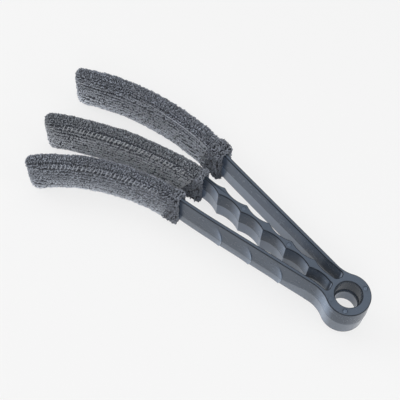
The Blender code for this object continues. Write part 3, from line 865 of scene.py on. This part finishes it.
def plastic(name, tone, polish):
    """Slate moulded plastic with flow marks, grain and scuffs, and light and shade painted in from a
    vertex attribute. Polish: 0 is satin, 1 glossy.
    """
    material = bpy.data.materials.new(name)
    nodes = Nodes(material)
    where = nodes.coordinates()
    cloud = nodes.noise(where, 38.0, 4.0, 0.55, 0.4)
    colour = nodes.ramp(cloud, ((0.30, tint(tone, 0.92)), (0.70, tint(tone, 1.10))))
    speck = nodes.ramp(nodes.noise(where, 900.0, 2.0, 0.6), ((0.62, 0.0), (0.72, 1.0)))
    colour = nodes.mix(nodes.maths("MULTIPLY", speck, 0.02), colour, tint(tone, 1.5))
    painted_light = nodes.add("ShaderNodeAttribute", attribute_name="painted_light").outputs["Fac"]
    # Painted light, towards a pale tone, where the attribute is above 0, and painted shade, towards a dark
    # tone, where it is below 0
    colour = nodes.mix(painted_light, colour, tint(tone, 0.55 / max(tone)))
    colour = nodes.mix(nodes.maths("MULTIPLY", painted_light, -1.0), colour, tint(tone, 0.12))
    scuffs = nodes.add("ShaderNodeMapping", Vector=where, Scale=(60.0, 420.0, 120.0),
                       Rotation=(0.2, 0.1, 0.5)).outputs["Vector"]
    base = 0.22 - 0.08 * polish
    rough = nodes.ramp(nodes.noise(scuffs, 2.4, 5.0, 0.7, 1.2),
                       ((0.35, base), (0.62, base + 0.06), (0.80, base + 0.16)))
    grain = nodes.bump(nodes.noise(where, 2600.0, 2.0, 0.5), 0.05, 0.0004)
    nodes.fill(nodes.tree.nodes["Principled BSDF"], {
        "Base Color": colour, "Roughness": rough,
        "Normal": nodes.bump(cloud, 0.08, 0.0014, Normal=grain),
        "IOR": 1.38 + 0.16 * polish, "Specular IOR Level": 0.45 + 0.55 * polish,
        "Specular Tint": (0.84, 0.92, 1.0, 1.0)})
    return material


def yarn(name, tone, pale, lift, contrast=1.0):
    """Terry yarn: uneven dye, twisted fibres, and painted floor light: the pale tone's shares from
    foot to top.
    """
    material = bpy.data.materials.new(name)
    nodes = Nodes(material)
    where = nodes.coordinates()
    patch = nodes.noise(where, 70.0, 3.0, 0.5, 0.3)
    strand = nodes.noise(where, 760.0, 2.0, 0.6)
    dark, light = tint(tone, 1 - 0.42 * contrast), tint(tone, 1 + 0.55 * contrast)
    colour = nodes.ramp(strand, ((0.34, dark), (0.52, tint(tone)), (0.70, light)))
    colour = nodes.mix(1.0, colour, nodes.ramp(patch, ((0.3, 0.84), (0.7, 1.16))), "MULTIPLY")
    height = nodes.add("ShaderNodeSeparateXYZ", Vector=where).outputs["Z"]
    climb = nodes.maths("MULTIPLY", height, 1.0 / TERRY_TOP)
    uneven = nodes.maths("MULTIPLY", nodes.maths("SUBTRACT", patch, 0.5), 0.35)
    # Painted floor light: the colour turns towards the pale tone near the floor
    fade = nodes.ramp(nodes.maths("ADD", climb, uneven), tuple(zip(PAINTED_LIGHT_STOPS, lift)))
    fibre = nodes.noise(where, 3800.0, 2.0, 0.6, 0.5)
    nodes.fill(nodes.tree.nodes["Principled BSDF"], {
        "Base Color": nodes.mix(fade, colour, tint(pale)),
        "Normal": nodes.bump(fibre, 0.35, 0.0003),
        "Roughness": nodes.ramp(strand, ((0.3, 0.98), (0.7, 0.86))),
        "Specular IOR Level": 0.15, "Sheen Weight": 0.22, "Sheen Roughness": 0.45})
    return material


# Terry sleeves

def unit(vectors):
    return vectors / np.maximum(np.linalg.norm(vectors, axis=-1, keepdims=True), 1e-12)


def above_floor(points):
    """Points in plan coordinates, none of them below the surface that the brush lies on."""
    points[..., 2] = np.maximum(points[..., 2], FLOOR_Z + FLOOR_CLEARANCE)
    return points


def sleeve_section(thick, low, high, edge, bulge=0.0):
    """A rounded upright section with crowned sides: across and height, evenly spaced."""
    edge = min(edge, thick * 0.49, (high - low) * 0.49)
    points = []
    for cx, cz, start in ((1, 1, 0.0), (-1, 1, 90.0), (-1, -1, 180.0), (1, -1, 270.0)):
        for i in range(13):
            angle = radians(start + 90.0 * i / 12)
            y = cx * (thick / 2 - edge) + edge * cos(angle)
            z = (high - edge if cz > 0 else low + edge) + edge * sin(angle)
            points.append((y, z))
    closed = np.array(points + points[:1])
    distance = travelled(gaps(closed))
    want = np.linspace(0.0, distance[-1], RING + 1)[:-1]
    y = np.interp(want, distance, closed[:, 0])
    z = np.interp(want, distance, closed[:, 1])
    rise = (z - (low + high) / 2) / ((high - low) / 2)
    flat = clamped(np.abs(y) / (thick / 2)) ** 4
    y = y + np.sign(y) * bulge * flat * (1 - rise ** 2)
    return y, z


def slanted_ring(name, along, share, *section):
    """A section set across the blade, slanting with a share of the slant from cuff to sleeve."""
    y, z = sleeve_section(*section)
    down = (SLEEVE_HEIGHT / 2 - z) / SLEEVE_HEIGHT
    along = along + share * (ARMS[name].cuff_low - ARMS[name].cuff_top) * down
    return LINES[name].on_blade(along, y, z)


def cloth_span(arm):
    """Where the straight part of a sleeve's cloth starts and ends, and its number of rings."""
    mouth, last = arm.cuff_top * 0.5, arm.sleeve - TIP_LOW_ROUND
    return mouth, last, int((last - mouth) / CLOTH_STEP)


def cloth_grid(name):
    """Rings of a sleeve's outer face from its mouth to its tip, as (rows, RING, 3)."""
    arm, line = ARMS[name], LINES[name]
    half = SLEEVE_HEIGHT / 2
    thick = arm.thick + CLOTH_FULLER
    mouth, last, count = cloth_span(arm)
    rings = []
    for along in np.linspace(mouth, last, count):
        share = 1 - (along - mouth) / (last - mouth)
        rings.append(slanted_ring(name, along, share, thick, -half, half, SLEEVE_EDGE,
                                  CLOTH_BULGE))
    for angle in TIP_ANGLES:
        along = last + TIP_LOW_ROUND * sin(radians(angle))
        past = max(0.0, along - (arm.sleeve - TIP_ROUND))
        narrow = TIP_ROUND - sqrt(max(0.0, TIP_ROUND ** 2 - past ** 2))
        low = TIP_LOW_ROUND * (1 - cos(radians(angle))) - half
        high = half - narrow * 0.5
        y, z = sleeve_section(thick - narrow * 2, low, high, SLEEVE_EDGE)
        corner = TIP_CORNER * sin(radians(angle)) * clamped((z - low) / (high - low)) ** 5
        rings.append(line.on_blade(along + corner, y, z))
    low = TIP_LOW_ROUND - half
    for share in TIP_SHARES:
        drawn = (1 - share) * 0.002
        y, z = sleeve_section((arm.thick - TIP_ROUND * 2) * share + 0.0002, low + drawn,
                              half - 0.0012 - drawn, SLEEVE_EDGE)
        rings.append(line.on_blade(arm.sleeve + (1 - share) * 0.0004, y, z))
    return np.array(rings)


def smooth_noise(rng, shape, cells):
    """Even random bumps over a (rows, columns) grid that wraps round its columns, from -1 to 1."""
    rows, columns = shape
    knots = rng.uniform(-1, 1, (cells[0] + 2, cells[1]))
    u = np.linspace(0, cells[0], rows)[:, None] * np.ones((1, columns))
    v = np.arange(columns)[None, :] * np.ones((rows, 1)) * cells[1] / columns
    i, j = np.floor(u).astype(int), np.floor(v).astype(int)
    k = (j + 1) % cells[1]
    j = j % cells[1]
    fu, fv = smooth_step(u - np.floor(u)), smooth_step(v - np.floor(v))
    return (knots[i, j] * (1 - fu) * (1 - fv) + knots[i, k] * (1 - fu) * fv
            + knots[i + 1, j] * fu * (1 - fv) + knots[i + 1, k] * fu * fv)


def grid_normals(grid):
    """Outward unit normals of a grid of rings."""
    around = (np.roll(grid, -1, axis=1) - np.roll(grid, 1, axis=1)) / 2
    return unit(np.cross(around, np.gradient(grid, axis=0)))


def inflate(grid):
    """Swells the cloth with a short pressure simulation, held at its mouth, top seams and tip."""
    rows, columns, _ = grid.shape
    mesh = bpy.data.meshes.new("settling")
    mesh.from_pydata((grid.reshape(-1, 3) * SETTLING_SCALE).tolist(), [], grid_faces(rows, columns))
    face_outwards(mesh, merge=False)
    obj = add_object("settling", mesh)
    seam = SLEEVE_HEIGHT / 2 - SLEEVE_EDGE * 0.35
    weight = bell((seam - grid[:, :, 2]) / SEAM_HOLD)
    weight[:2] = 1.0
    weight[-6:] = np.maximum(weight[-6:], TIP_HOLD)
    held = obj.vertex_groups.new(name="held")
    for index, value in enumerate(weight.reshape(-1)):
        if value > LEAST_HOLD:
            held.add([index], float(value), "REPLACE")
    cloth = obj.modifiers.new("cloth", "CLOTH")
    for key, value in CLOTH_SETTINGS.items():
        setattr(cloth.settings, key, value)
    cloth.settings.effector_weights.gravity = 0.0
    cloth.collision_settings.use_collision = False
    cloth.point_cache.frame_start = 1
    cloth.point_cache.frame_end = SETTLING_FRAMES
    scene = bpy.context.scene
    for step in range(1, SETTLING_FRAMES + 1):
        scene.frame_set(step)
    result = obj.evaluated_get(bpy.context.evaluated_depsgraph_get()).to_mesh()
    swollen = np.zeros(len(result.vertices) * 3)
    result.vertices.foreach_get("co", swollen)
    scene.frame_set(1)
    bpy.data.objects.remove(obj)
    move = swollen.reshape(rows, columns, 3) / SETTLING_SCALE - grid
    length = np.linalg.norm(move, axis=2, keepdims=True)
    return grid + move * CLOTH_CAP * np.tanh(length / CLOTH_CAP) / np.maximum(length, 1e-9)


def pressed(name, normal, ahead):
    """How far, from 0 to 1, a place faces the next sleeve that its own is squeezed against."""
    if name == "right":
        return np.zeros(normal.shape[:-1])
    ahead = unit(ahead)
    return clamped(normal[..., 0] * ahead[..., 1] - normal[..., 1] * ahead[..., 0])


def shaped_cloth(name, rng):
    """The sleeve's cloth after settling, with puckers along its seams and soft dents."""
    grid = cloth_grid(name)
    grid = inflate(grid)
    rows, columns, _ = grid.shape
    normal = grid_normals(grid)
    facing = pressed(name, normal, np.gradient(grid, axis=0))
    grid = grid - normal * (PRESSED_IN * facing)[:, :, None]
    dents = sum(smooth_noise(rng, (rows, columns), cells) * size for cells, size in DENTS)
    seam = bell((SLEEVE_HEIGHT / 2 - SLEEVE_EDGE * 0.9 - grid[:, :, 2]) / PUCKER_BAND)
    wave = np.sin(np.arange(rows) * PUCKER_TURN)[:, None] * PUCKER_WAVE
    return grid + normal * (dents + (wave * seam - PUCKER_DEPTH * seam))[:, :, None]


def cubic(t):
    """Catmull-Rom weights of the four knots round a fraction."""
    return (0.5 * (-t + 2 * t ** 2 - t ** 3), 0.5 * (2 - 5 * t ** 2 + 3 * t ** 3),
            0.5 * (t + 4 * t ** 2 - 3 * t ** 3), 0.5 * (-t ** 2 + t ** 3))


def sample_grid(grid, u, v):
    """Points of a grid of rings at fractional rows and columns."""
    rows, columns, _ = grid.shape
    i = np.clip(np.floor(u).astype(int), 0, rows - 2)
    j = np.floor(v).astype(int)
    total = 0
    for wu, di in zip(cubic(u - i), (-1, 0, 1, 2)):
        row = np.clip(i + di, 0, rows - 1)
        for wv, dj in zip(cubic(v - j), (-1, 0, 1, 2)):
            total = total + grid[row, (j + dj) % columns] * (wu * wv)[..., None]
    return total


def refined(grid, rows_factor=2):
    """A grid of rings made finer along by a factor and round by two, with smooth interpolation."""
    rows, columns, _ = grid.shape
    u = np.linspace(0, rows - 1, (rows - 1) * rows_factor + 1)
    v = np.arange(columns * 2) / 2
    return sample_grid(grid, u[:, None] * np.ones_like(v), np.ones_like(u)[:, None] * v)


def pocket_rings(name):
    """Rings of the pocket for the blade, from the mouth inwards to its end."""
    half = BLADE_HEIGHT / 2 + SLEEVE_CLEARANCE
    first, end = ARMS[name].cuff_top * 0.5, ARMS[name].sleeve - TIP_WALL
    return np.array([slanted_ring(name, first + (end - first) * share, 1 - share,
                                  POCKET_WIDTH, -half, half, SLEEVE_CLEARANCE)
                     for share in np.linspace(0, 1, 28)])


def make_cloth(name, grid, material):
    """The closed sleeve: cloth outside, pocket inside, joined round the mouth."""
    fine = refined(grid)
    pocket = refined(pocket_rings(name), 1)
    lip = (fine[:1] + pocket[:1]) / 2
    rings = np.vstack([pocket[::-1], lip, fine])
    return cloth_object(f"sleeve_cloth_{name}", rings.reshape(-1, 3),
                        grid_faces(*rings.shape[:2]), material)


def tubes(paths, radii, up, sides):
    """Closed tubes along many short paths, (n, k, 3), with radii (n, k): vertices and faces."""
    count, knots, _ = paths.shape
    tangent = unit(np.gradient(paths, axis=1))
    side = unit(np.cross(tangent, up[:, None, :] * np.ones_like(tangent)))
    other = np.cross(side, tangent)
    rings = []
    for k in range(sides):
        angle = 2 * pi * k / sides
        rings.append(paths + (side * cos(angle) + other * sin(angle)) * radii[:, :, None])
    vertices = np.stack(rings, axis=2).reshape(-1, 3)
    base = (np.arange(count) * knots * sides)[:, None, None]
    ring = (np.arange(knots - 1) * sides)[None, :, None]
    here = np.arange(sides)
    a = (base + ring + here).reshape(-1)
    b = (base + ring + (here + 1) % sides).reshape(-1)
    quads = np.stack([a, b, b + sides, a + sides], axis=1)
    first = base[:, 0, :] + here[::-1]
    last = base[:, 0, :] + (knots - 1) * sides + here
    return vertices, quads.tolist() + first.tolist() + last.tolist()


def row_places(grid):
    """Columns of the grid where rows of loops start, and which of them are on the top."""
    ring = grid[len(grid) // 2]
    step = gaps(np.vstack([ring, ring[:1]]))
    high, low = ring[:, 2].max() - NARROW_BAND, ring[:, 2].min() + NARROW_BAND
    places, narrow, place = [], [], 0.0
    while place < RING - 1.2:
        z = ring[int(place), 2]
        places.append(place)
        narrow.append(z > high)
        pitch = NARROW_PITCH if z > high or z < low else ROW_PITCH
        if high >= z > high - SEAM_BAND:
            pitch = SEAM_PITCH
        place += pitch / step[int(place)]
    return (np.array(places) + 0.4) * RING / place, narrow


def loop_sites(grid, pitches, places, rng, first_row, last_row):
    """Sites along wandering lengthwise rows: fractional rows and columns of the grid."""
    rows = grid.shape[0]
    distance = travelled(gaps(grid).mean(axis=1))
    start, end = np.interp([first_row, last_row], np.arange(rows), distance)
    places_u, places_v = [], []
    for place, pitch in zip(places, pitches):
        along = np.arange(start + rng.uniform(0, pitch), end, pitch)
        along = np.clip(along + rng.uniform(-0.25, 0.25, len(along)) * pitch, start, end)
        knots = rng.uniform(-1, 1, 12)
        wander = np.interp(along, np.linspace(start, end, len(knots)), knots) * LOOP_WANDER
        places_u.append(np.interp(along, distance, np.arange(rows)))
        places_v.append(place + wander + rng.uniform(-LOOP_WANDER, LOOP_WANDER, len(along)))
    return np.concatenate(places_u), np.concatenate(places_v)


def loops(base, normal, ahead, size, flat, knots, rng):
    """Paths and radii of drooping terry loops that stand on the cloth, lower where flat."""
    count = len(base)
    low = clamped((0.004 + FLOOR_Z - base[:, 2]) / 0.006)
    top = clamped((normal[:, 2] - 0.45) / 0.35)
    edge = bell((normal[:, 2] - 0.62) / 0.30)
    turn = rng.normal(0.12, 0.50 + 0.1 * top, count) + top * 1.25
    across = unit(np.cross(normal, ahead))
    plane = ahead * np.cos(turn)[:, None] + across * np.sin(turn)[:, None]
    tall = LOOP_HEIGHT + LOW_RISE * low + EDGE_RISE * edge - TOP_DROP * top
    tall = tall * rng.uniform(0.70, 1.25, count) * size
    tall *= 1 - PRESSED_PILE * flat
    wide = (LOOP_WIDTH - 0.00004 * top) * rng.uniform(0.8, 1.2, count) * size
    droop = LOOP_DROOP * (1 - top) * (1 - low) * rng.uniform(0.4, 1.2, count) * size
    lean = ahead * rng.normal(0, LOOP_LEAN_AHEAD, count)[:, None]
    lean = lean + across * rng.normal(0, LOOP_LEAN_ACROSS, count)[:, None]
    lean[:, 2] -= droop
    angles = np.linspace(radians(-42), radians(222), knots)
    lift = (np.sin(angles) - np.sin(angles[0])) / (1 - np.sin(angles[0]))
    paths = (base[:, None, :]
             + plane[:, None, :] * (np.cos(angles)[None, :, None] * wide[:, None, None] / 2)
             + normal[:, None, :] * ((lift[None, :] * tall[:, None]) - LOOP_SINK)[:, :, None]
             + lean[:, None, :] * (lift ** 1.5)[None, :, None])
    paths = paths + rng.normal(0, LOOP_JITTER, paths.shape)
    thick = (YARN_RADIUS * size * (1 - 0.30 * top))[:, None] * (0.72 + 0.38 * lift[None, :])
    thick = thick * rng.uniform(0.85, 1.2, count)[:, None]
    return paths, thick, unit(np.cross(plane, normal) + 1e-3)


def side_of(name, points):
    """True where points lie to the left of the blade's centre line."""
    line = LINES[name]
    keep = line.distance > line.blade_start - 0.01
    places = line.places[keep]
    headings = np.radians(line.headings[keep])
    result = []
    for block in np.array_split(points[:, :2], max(1, len(points) // 500)):
        away = np.linalg.norm(block[:, None, :] - places[None, ::4, :], axis=2)
        near = away.argmin(axis=1) * 4
        left = np.stack([-np.sin(headings[near]), np.cos(headings[near])], axis=1)
        result.append(((block - places[near]) * left).sum(axis=1) > 0)
    return np.concatenate(result)


def pile(name, grid, high, low, rng):
    """Terry over a sleeve: high rows of loops, a piece for each side, and low loops between."""
    rows = len(grid)
    normals = grid_normals(grid)
    steps = np.gradient(grid, axis=0)
    places, narrow = row_places(grid)
    pitches = np.where(narrow, NARROW_LOOP_PITCH, LOOP_PITCH)
    between = (places + np.append(places[1:], RING)) / 2
    pieces = []
    for label, material, starts, spread, size, knots, sides in (
            ("loops", high, places, pitches, 1.0, 6, 4),
            # low loops between the rows, in the darker material of painted shade
            ("ground", low, between, pitches * 1.3, 0.80, 5, 3)):
        u, v = loop_sites(grid, spread, starts, rng, 1.2, rows - 1.4)
        base = sample_grid(grid, u, v)
        normal, ahead = unit(sample_grid(normals, u, v)), unit(sample_grid(steps, u, v))
        flat = pressed(name, normal, ahead)
        paths, thick, up = loops(base, normal, ahead, size, flat, knots, rng)
        parts = {"all": slice(None)}
        if label == "loops":
            left = side_of(name, base)
            parts = {"left": left, "right": ~left}
        for side, chosen in parts.items():
            vertices, faces = tubes(paths[chosen], thick[chosen], up[chosen], sides)
            title = f"terry_{label}_{name}_{side}"
            pieces.append(mesh_object(title, above_floor(vertices), faces, material))
    return pieces


# Cuffs

def cuff_grid(name, rng):
    """Rings of the turned-back cuff: from inside its mouth, over the rolled edge and back."""
    half = SLEEVE_HEIGHT / 2
    inside = HANDLE_HEIGHT / 2 + SLEEVE_CLEARANCE
    outside = half + CUFF_RISE
    thick = ARMS[name].thick + CUFF_FULLER
    top = ARMS[name].cuff_top
    roll = min(CUFF_ROLL, top * 0.35)
    path = []
    for along, share in ((top * 0.9, 0.9), (top * 0.5, 0.5), (roll * 0.6, 0.05)):
        path.append((along, share, POCKET_WIDTH, -inside, inside, SLEEVE_CLEARANCE))
    for angle in CUFF_ANGLES:
        t = (1 - cos(radians(angle))) / 2
        path.append((roll * (1 - sin(radians(angle))), 0.0,
                     POCKET_WIDTH + (thick - POCKET_WIDTH) * t, -inside + (inside - half) * t,
                     inside + (outside - inside) * t,
                     SLEEVE_CLEARANCE + (SLEEVE_EDGE - SLEEVE_CLEARANCE) * t))
    for step in np.linspace(0.12, 1.0, 6):
        path.append((roll + (top - roll) * step, step, thick, -half, outside, SLEEVE_EDGE))
    path.append((top + 0.0003, 1.0, thick - 0.0011, -half + HEM_TURN, outside - HEM_TURN,
                 SLEEVE_EDGE))
    grid = np.array([slanted_ring(name, *place) for place in path])
    rows = len(path)
    rolled = clamped((np.arange(rows) - 3) / 3)[:, None, None]
    normal = grid_normals(grid)
    lumps = smooth_noise(rng, (rows, RING), (3, 11)) * CUFF_LUMPS
    lumps = lumps - PRESSED_IN * 0.8 * pressed(name, normal, np.gradient(grid, axis=0))
    return grid + normal * lumps[:, :, None] * rolled


def make_cuff(name, grid, material):
    """The cuff's cloth, closed from its hidden edge to the edge in its mouth."""
    fine = refined(grid)
    faces = grid_faces(*fine.shape[:2], looped=True)
    return cloth_object(f"cuff_cloth_{name}", fine.reshape(-1, 3), faces, material)


def cuff_loops(name, grid, material, rng):
    """Coarse loops of the cuff: short meandering strands that lie over each other."""
    rows = len(grid)
    girth = np.linalg.norm(np.roll(grid, -1, axis=1) - grid, axis=2).mean()
    pitch = gaps(grid).mean()
    places = np.arange(0.0, RING - 0.5, CUFF_LOOP_SPACING / girth)
    pitches = np.full(len(places), CUFF_LOOP_PITCH)
    u, v = loop_sites(grid, pitches, places, rng, 3.4, rows - 1.2)
    count = len(u)
    heading = rng.uniform(0, 2 * pi, count)
    bend = rng.normal(0, 0.6, (count, CUFF_LOOP_KNOTS))
    heading = heading[:, None] + np.cumsum(bend, axis=1)
    du = np.cos(heading) * CUFF_LOOP_STEP / pitch
    dv = np.sin(heading) * CUFF_LOOP_STEP / girth
    path_u = np.clip(u[:, None] + np.cumsum(du, axis=1) - du[:, :1], 2.5, rows - 1.05)
    path_v = v[:, None] + np.cumsum(dv, axis=1)
    normal = unit(sample_grid(grid_normals(grid), path_u, path_v))
    ahead = sample_grid(np.gradient(grid, axis=0), path_u, path_v)
    arch = np.sin(np.linspace(0.05, pi - 0.05, CUFF_LOOP_KNOTS))
    tall = rng.uniform(*CUFF_LOOP_HEIGHTS, count)[:, None]
    tall = tall * (1 - PRESSED_PILE * pressed(name, normal, ahead))
    points = sample_grid(grid, path_u, path_v)
    points = points + normal * (arch[None, :] * tall - CUFF_LOOP_SINK)[:, :, None]
    radii = rng.uniform(*CUFF_LOOP_RADII, count)[:, None] * (0.75 + 0.35 * arch)[None, :]
    vertices, faces = tubes(points, radii, unit(rng.normal(0, 1, (count, 3))), 5)
    return mesh_object(f"cuff_loops_{name}", above_floor(vertices), faces, material)


# Stitching

def on_cloth(grid, name, along, column, proud):
    """Points above the settled cloth, at distances along the sleeve and columns round it."""
    mouth, last, rows = cloth_span(ARMS[name])
    u = (along - mouth) / (last - mouth) * (rows - 1)
    column = column + np.zeros_like(u)
    normal = unit(sample_grid(grid_normals(grid), u, column))
    return sample_grid(grid, u, column) + normal * (proud + np.zeros_like(u))[..., None]


def seam_paths(name, grid, rng):
    """Paths and radii of a sleeve's stitches and cords, as a list."""
    arm = ARMS[name]
    top, tip = arm.cuff_top, arm.sleeve
    parts = []
    if name == "right":
        t = np.linspace(0, 1, 60)
        along = top + 0.001 + (tip * FAR_CORD_END - top) * t
        cord = on_cloth(grid, name, along, 0.7 + 0.8 * t, CORD_PROUD)
        parts.append((cord[None], (CORD_RADIUS * (1 - 0.45 * t ** 2))[None]))
    else:
        places = np.arange(top + STITCH_END, tip - STITCH_END, STITCH_PITCH)
        places = places + rng.uniform(-0.0003, 0.0003, len(places))
        t = np.linspace(-0.5, 0.5, 7)
        along = places[:, None] - t[None, :] * STITCH_LENGTH
        column = 0.6 + t[None, :] * STITCH_SLANT + rng.normal(0, 0.08, along.shape)
        stitch = on_cloth(grid, name, along, column, 0.0009 + 0.0008 * np.cos(t * 2.4)[None, :])
        radii = STITCH_RADIUS * (1 - 1.6 * t[None, :] ** 2)
        parts.append((stitch, radii * rng.uniform(0.75, 1.1, (len(places), 1))))
    if name != "left":
        column = np.linspace(-18.5, -1.0, 24)
        border = on_cloth(grid, name, np.full(24, top + 0.0012), column, BORDER_PROUD)
        parts.append((border[None], np.full((1, 24), BORDER_RADIUS)))
    if name == "middle":
        along = np.linspace(top + 0.0014, tip * RIM_END, 80)
        rim = on_cloth(grid, name, along, -18.9, CORD_PROUD)
        parts.append((rim[None], STITCH_RADIUS * np.linspace(1.0, 0.5, 80)[None]))
    t = np.linspace(0, 1, 14)
    seam = LINES[name].on_blade(tip - 0.0065 + 0.0078 * np.sin(t * pi / 2),
                                arm.thick / 2 + 0.0016 - 0.0050 * t ** 2,
                                SLEEVE_HEIGHT / 2 - 0.0020 - 0.0018 * t)
    parts.append((seam[None], np.full((1, 14), CORD_RADIUS)))
    return parts


def stitches(name, grid, material, rng):
    """The seam between a sleeve's top and left face: slanted stitches, or the far one's cord."""
    vertices, faces = [], []
    for points, radii in seam_paths(name, grid, rng):
        up = unit(np.tile((0.2, 0.1, 1.0), (len(points), 1)))
        made, quads = tubes(points, radii, up, 6)
        start = sum(len(block) for block in vertices)
        vertices.append(made)
        faces += [[index + start for index in face] for face in quads]
    return mesh_object(f"stitches_{name}", above_floor(np.vstack(vertices)), faces, material)


# Stage

def make_floor():
    """A pale floor. Seen directly, in gloss or glass, its shadows are lighter and fade far out."""
    material = bpy.data.materials.new("pale floor")
    nodes = Nodes(material)
    shader = nodes.tree.nodes["Principled BSDF"]
    nodes.fill(shader, {"Base Color": (0.80, 0.80, 0.80, 1.0), "Roughness": 0.9,
                        "Specular IOR Level": 0.1})
    glow = nodes.add("ShaderNodeEmission", Color=PALE, Strength=1.0)
    path = nodes.add("ShaderNodeLightPath").outputs
    seen = nodes.maths("MAXIMUM", path["Is Camera Ray"], path["Is Glossy Ray"])
    seen = nodes.maths("MAXIMUM", seen, path["Is Transmission Ray"])
    far = nodes.add("ShaderNodeVectorMath", operation="LENGTH")
    nodes.feed(far.inputs[0], nodes.coordinates())
    share = nodes.add("ShaderNodeMapRange")
    nodes.fill(share, {"Value": far.outputs["Value"], "From Min": 0.3, "From Max": 1.3,
                       "To Min": FLOOR_GLOW, "To Max": 1.0})
    seen = nodes.maths("MULTIPLY", seen, share.outputs["Result"])
    surface = nodes.mix_shaders(seen, shader, glow)
    nodes.fill(nodes.tree.nodes["Material Output"], {"Surface": surface})
    mesh = bpy.data.meshes.new("floor")
    corners = [(x * FLOOR_REACH, y * FLOOR_REACH, 0)
               for x, y in ((-1, -1), (1, -1), (1, 1), (-1, 1))]
    mesh.from_pydata(corners, [], [(0, 1, 2, 3)])
    mesh.materials.append(material)
    floor = add_object("floor", mesh)
    floor.location = (0.0, 0.0, -FLOOR_DROP)


def make_world():
    """Soft light from all round but dim from the side that the front view is taken from."""
    world = bpy.data.worlds.new("studio")
    bpy.context.scene.world = world
    nodes = Nodes(world)
    towards = nodes.add("ShaderNodeVectorMath", operation="DOT_PRODUCT")
    nodes.feed(towards.inputs[0], nodes.add("ShaderNodeTexCoord").outputs["Generated"])
    nodes.feed(towards.inputs[1], DIM_SIDE)
    level = nodes.ramp(towards.outputs["Value"], ((0.20, 1.0), (0.70, 0.16)))
    soft = nodes.tree.nodes["Background"]
    nodes.fill(soft, {"Color": level, "Strength": 0.32})
    white = nodes.add("ShaderNodeBackground", Color=PALE, Strength=1.0)
    seen = nodes.add("ShaderNodeLightPath").outputs["Is Camera Ray"]
    nodes.fill(nodes.tree.nodes["World Output"], {"Surface": nodes.mix_shaders(seen, soft, white)})


def make_lamps():
    for name, (place, size, power) in LAMPS.items():
        light = bpy.data.lights.new(name, "AREA")
        light.shape = "RECTANGLE"
        light.size, light.size_y = size
        light.energy = power
        lamp = add_object(name, light)
        lamp.location = place
        lamp.rotation_euler = (-Vector(place)).to_track_quat("-Z", "Y").to_euler()


def make_camera():
    """The photograph's view: the axes are the camera's right, down and forward in the row frame."""
    right = Vector((-0.74308, -0.66805, 0.03941))
    down = Vector((-0.60120, 0.64054, -0.47777))
    forward = Vector((0.29393, -0.37871, -0.87760))
    camera_data = bpy.data.cameras.new("camera")
    camera_data.sensor_width = SENSOR
    camera_data.lens = SENSOR * FOCAL_PIXELS / FRAME_PIXELS
    camera_data.clip_end = 20.0
    camera = add_object("camera", camera_data)
    turn = Matrix((right, -down, -forward)).transposed().to_4x4()
    place = OFFSET + Vector((-0.068008, 0.239445, 0.524476 + HANDLE_HEIGHT / 2))
    camera.matrix_world = Matrix.Translation(place) @ turn
    bpy.context.scene.camera = camera


# The brush

def dress_handle():
    # The lower half is glossier and painted paler, as painted light from the floor
    slate = (plastic("slate plastic, upper", PLASTIC_UPPER, 0.0),
             plastic("slate plastic, lower, painted floor light", PLASTIC_LOWER_PAINTED_LIGHT, 0.5))
    handle = make_handle(slate)
    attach(handle, "handle")
    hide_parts("handle")
    for name in ("left", "right"):
        piece = make_arm(name, slate)
        ends = []
        for along in (STUB_LENGTH + 0.0005, BEND_END):
            x, y = LINES[name].at(along, 0.0)
            ends.append(OFFSET + Vector((float(x), float(y), 0.0)))
        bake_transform(piece, "handle", ARMS[name].body, start=ends[0], end=ends[1])
        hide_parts(f"arm_{name}")


def dress_sleeves():
    # Painted shade: the low loops between the rows, the cloth under the pile and the cuffs' cloth under
    # their loops are darker, so that the gaps in the pile look shaded
    low = yarn("grey terry, low loops, painted shade", (0.088, 0.096, 0.113), (0.42, 0.44, 0.49), LOW_PAINTED_LIGHT)
    ground = yarn("terry ground, painted shade", (0.045, 0.050, 0.060), (0.22, 0.23, 0.26), LOW_PAINTED_LIGHT)
    hem = yarn("dark hem loops", (0.180, 0.196, 0.229), (0.26, 0.28, 0.32), LOW_PAINTED_LIGHT)
    hem_ground = yarn("hem ground, painted shade", (0.026, 0.029, 0.036), (0.06, 0.06, 0.07), LOW_PAINTED_LIGHT)
    for number, name in enumerate(ARMS):
        high = yarn(f"grey terry, {name}", *TERRY[name], contrast=1.4)
        thread = yarn(f"pale thread, {name}", THREAD[name], THREAD_PAINTED_PALE, THREAD_PAINTED_LIGHT, contrast=0.3)
        rng = np.random.default_rng(SEED + number)
        grid = shaped_cloth(name, rng)
        cloth = make_cloth(name, grid, ground)
        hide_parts(f"sleeve_{name}")
        pieces = [(cloth, "terry")]
        pieces += [(piece, "terry") for piece in pile(name, grid, high, low, rng)]
        cuff = cuff_grid(name, rng)
        band = make_cuff(name, cuff, hem_ground)
        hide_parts(f"cuff_{name}")
        pieces += [(band, "hem"), (cuff_loops(name, cuff, hem, rng), "hem")]
        sewing = stitches(name, grid, thread, rng)
        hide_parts(f"thread_{name}")
        pieces.append((sewing, "thread"))
        for piece, slot in pieces:
            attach(piece, f"cover_{name}")


bpy.context.scene.view_settings.view_transform = "Standard"
make_camera()
make_world()
make_floor()
make_lamps()
dress_handle()
dress_sleeves()
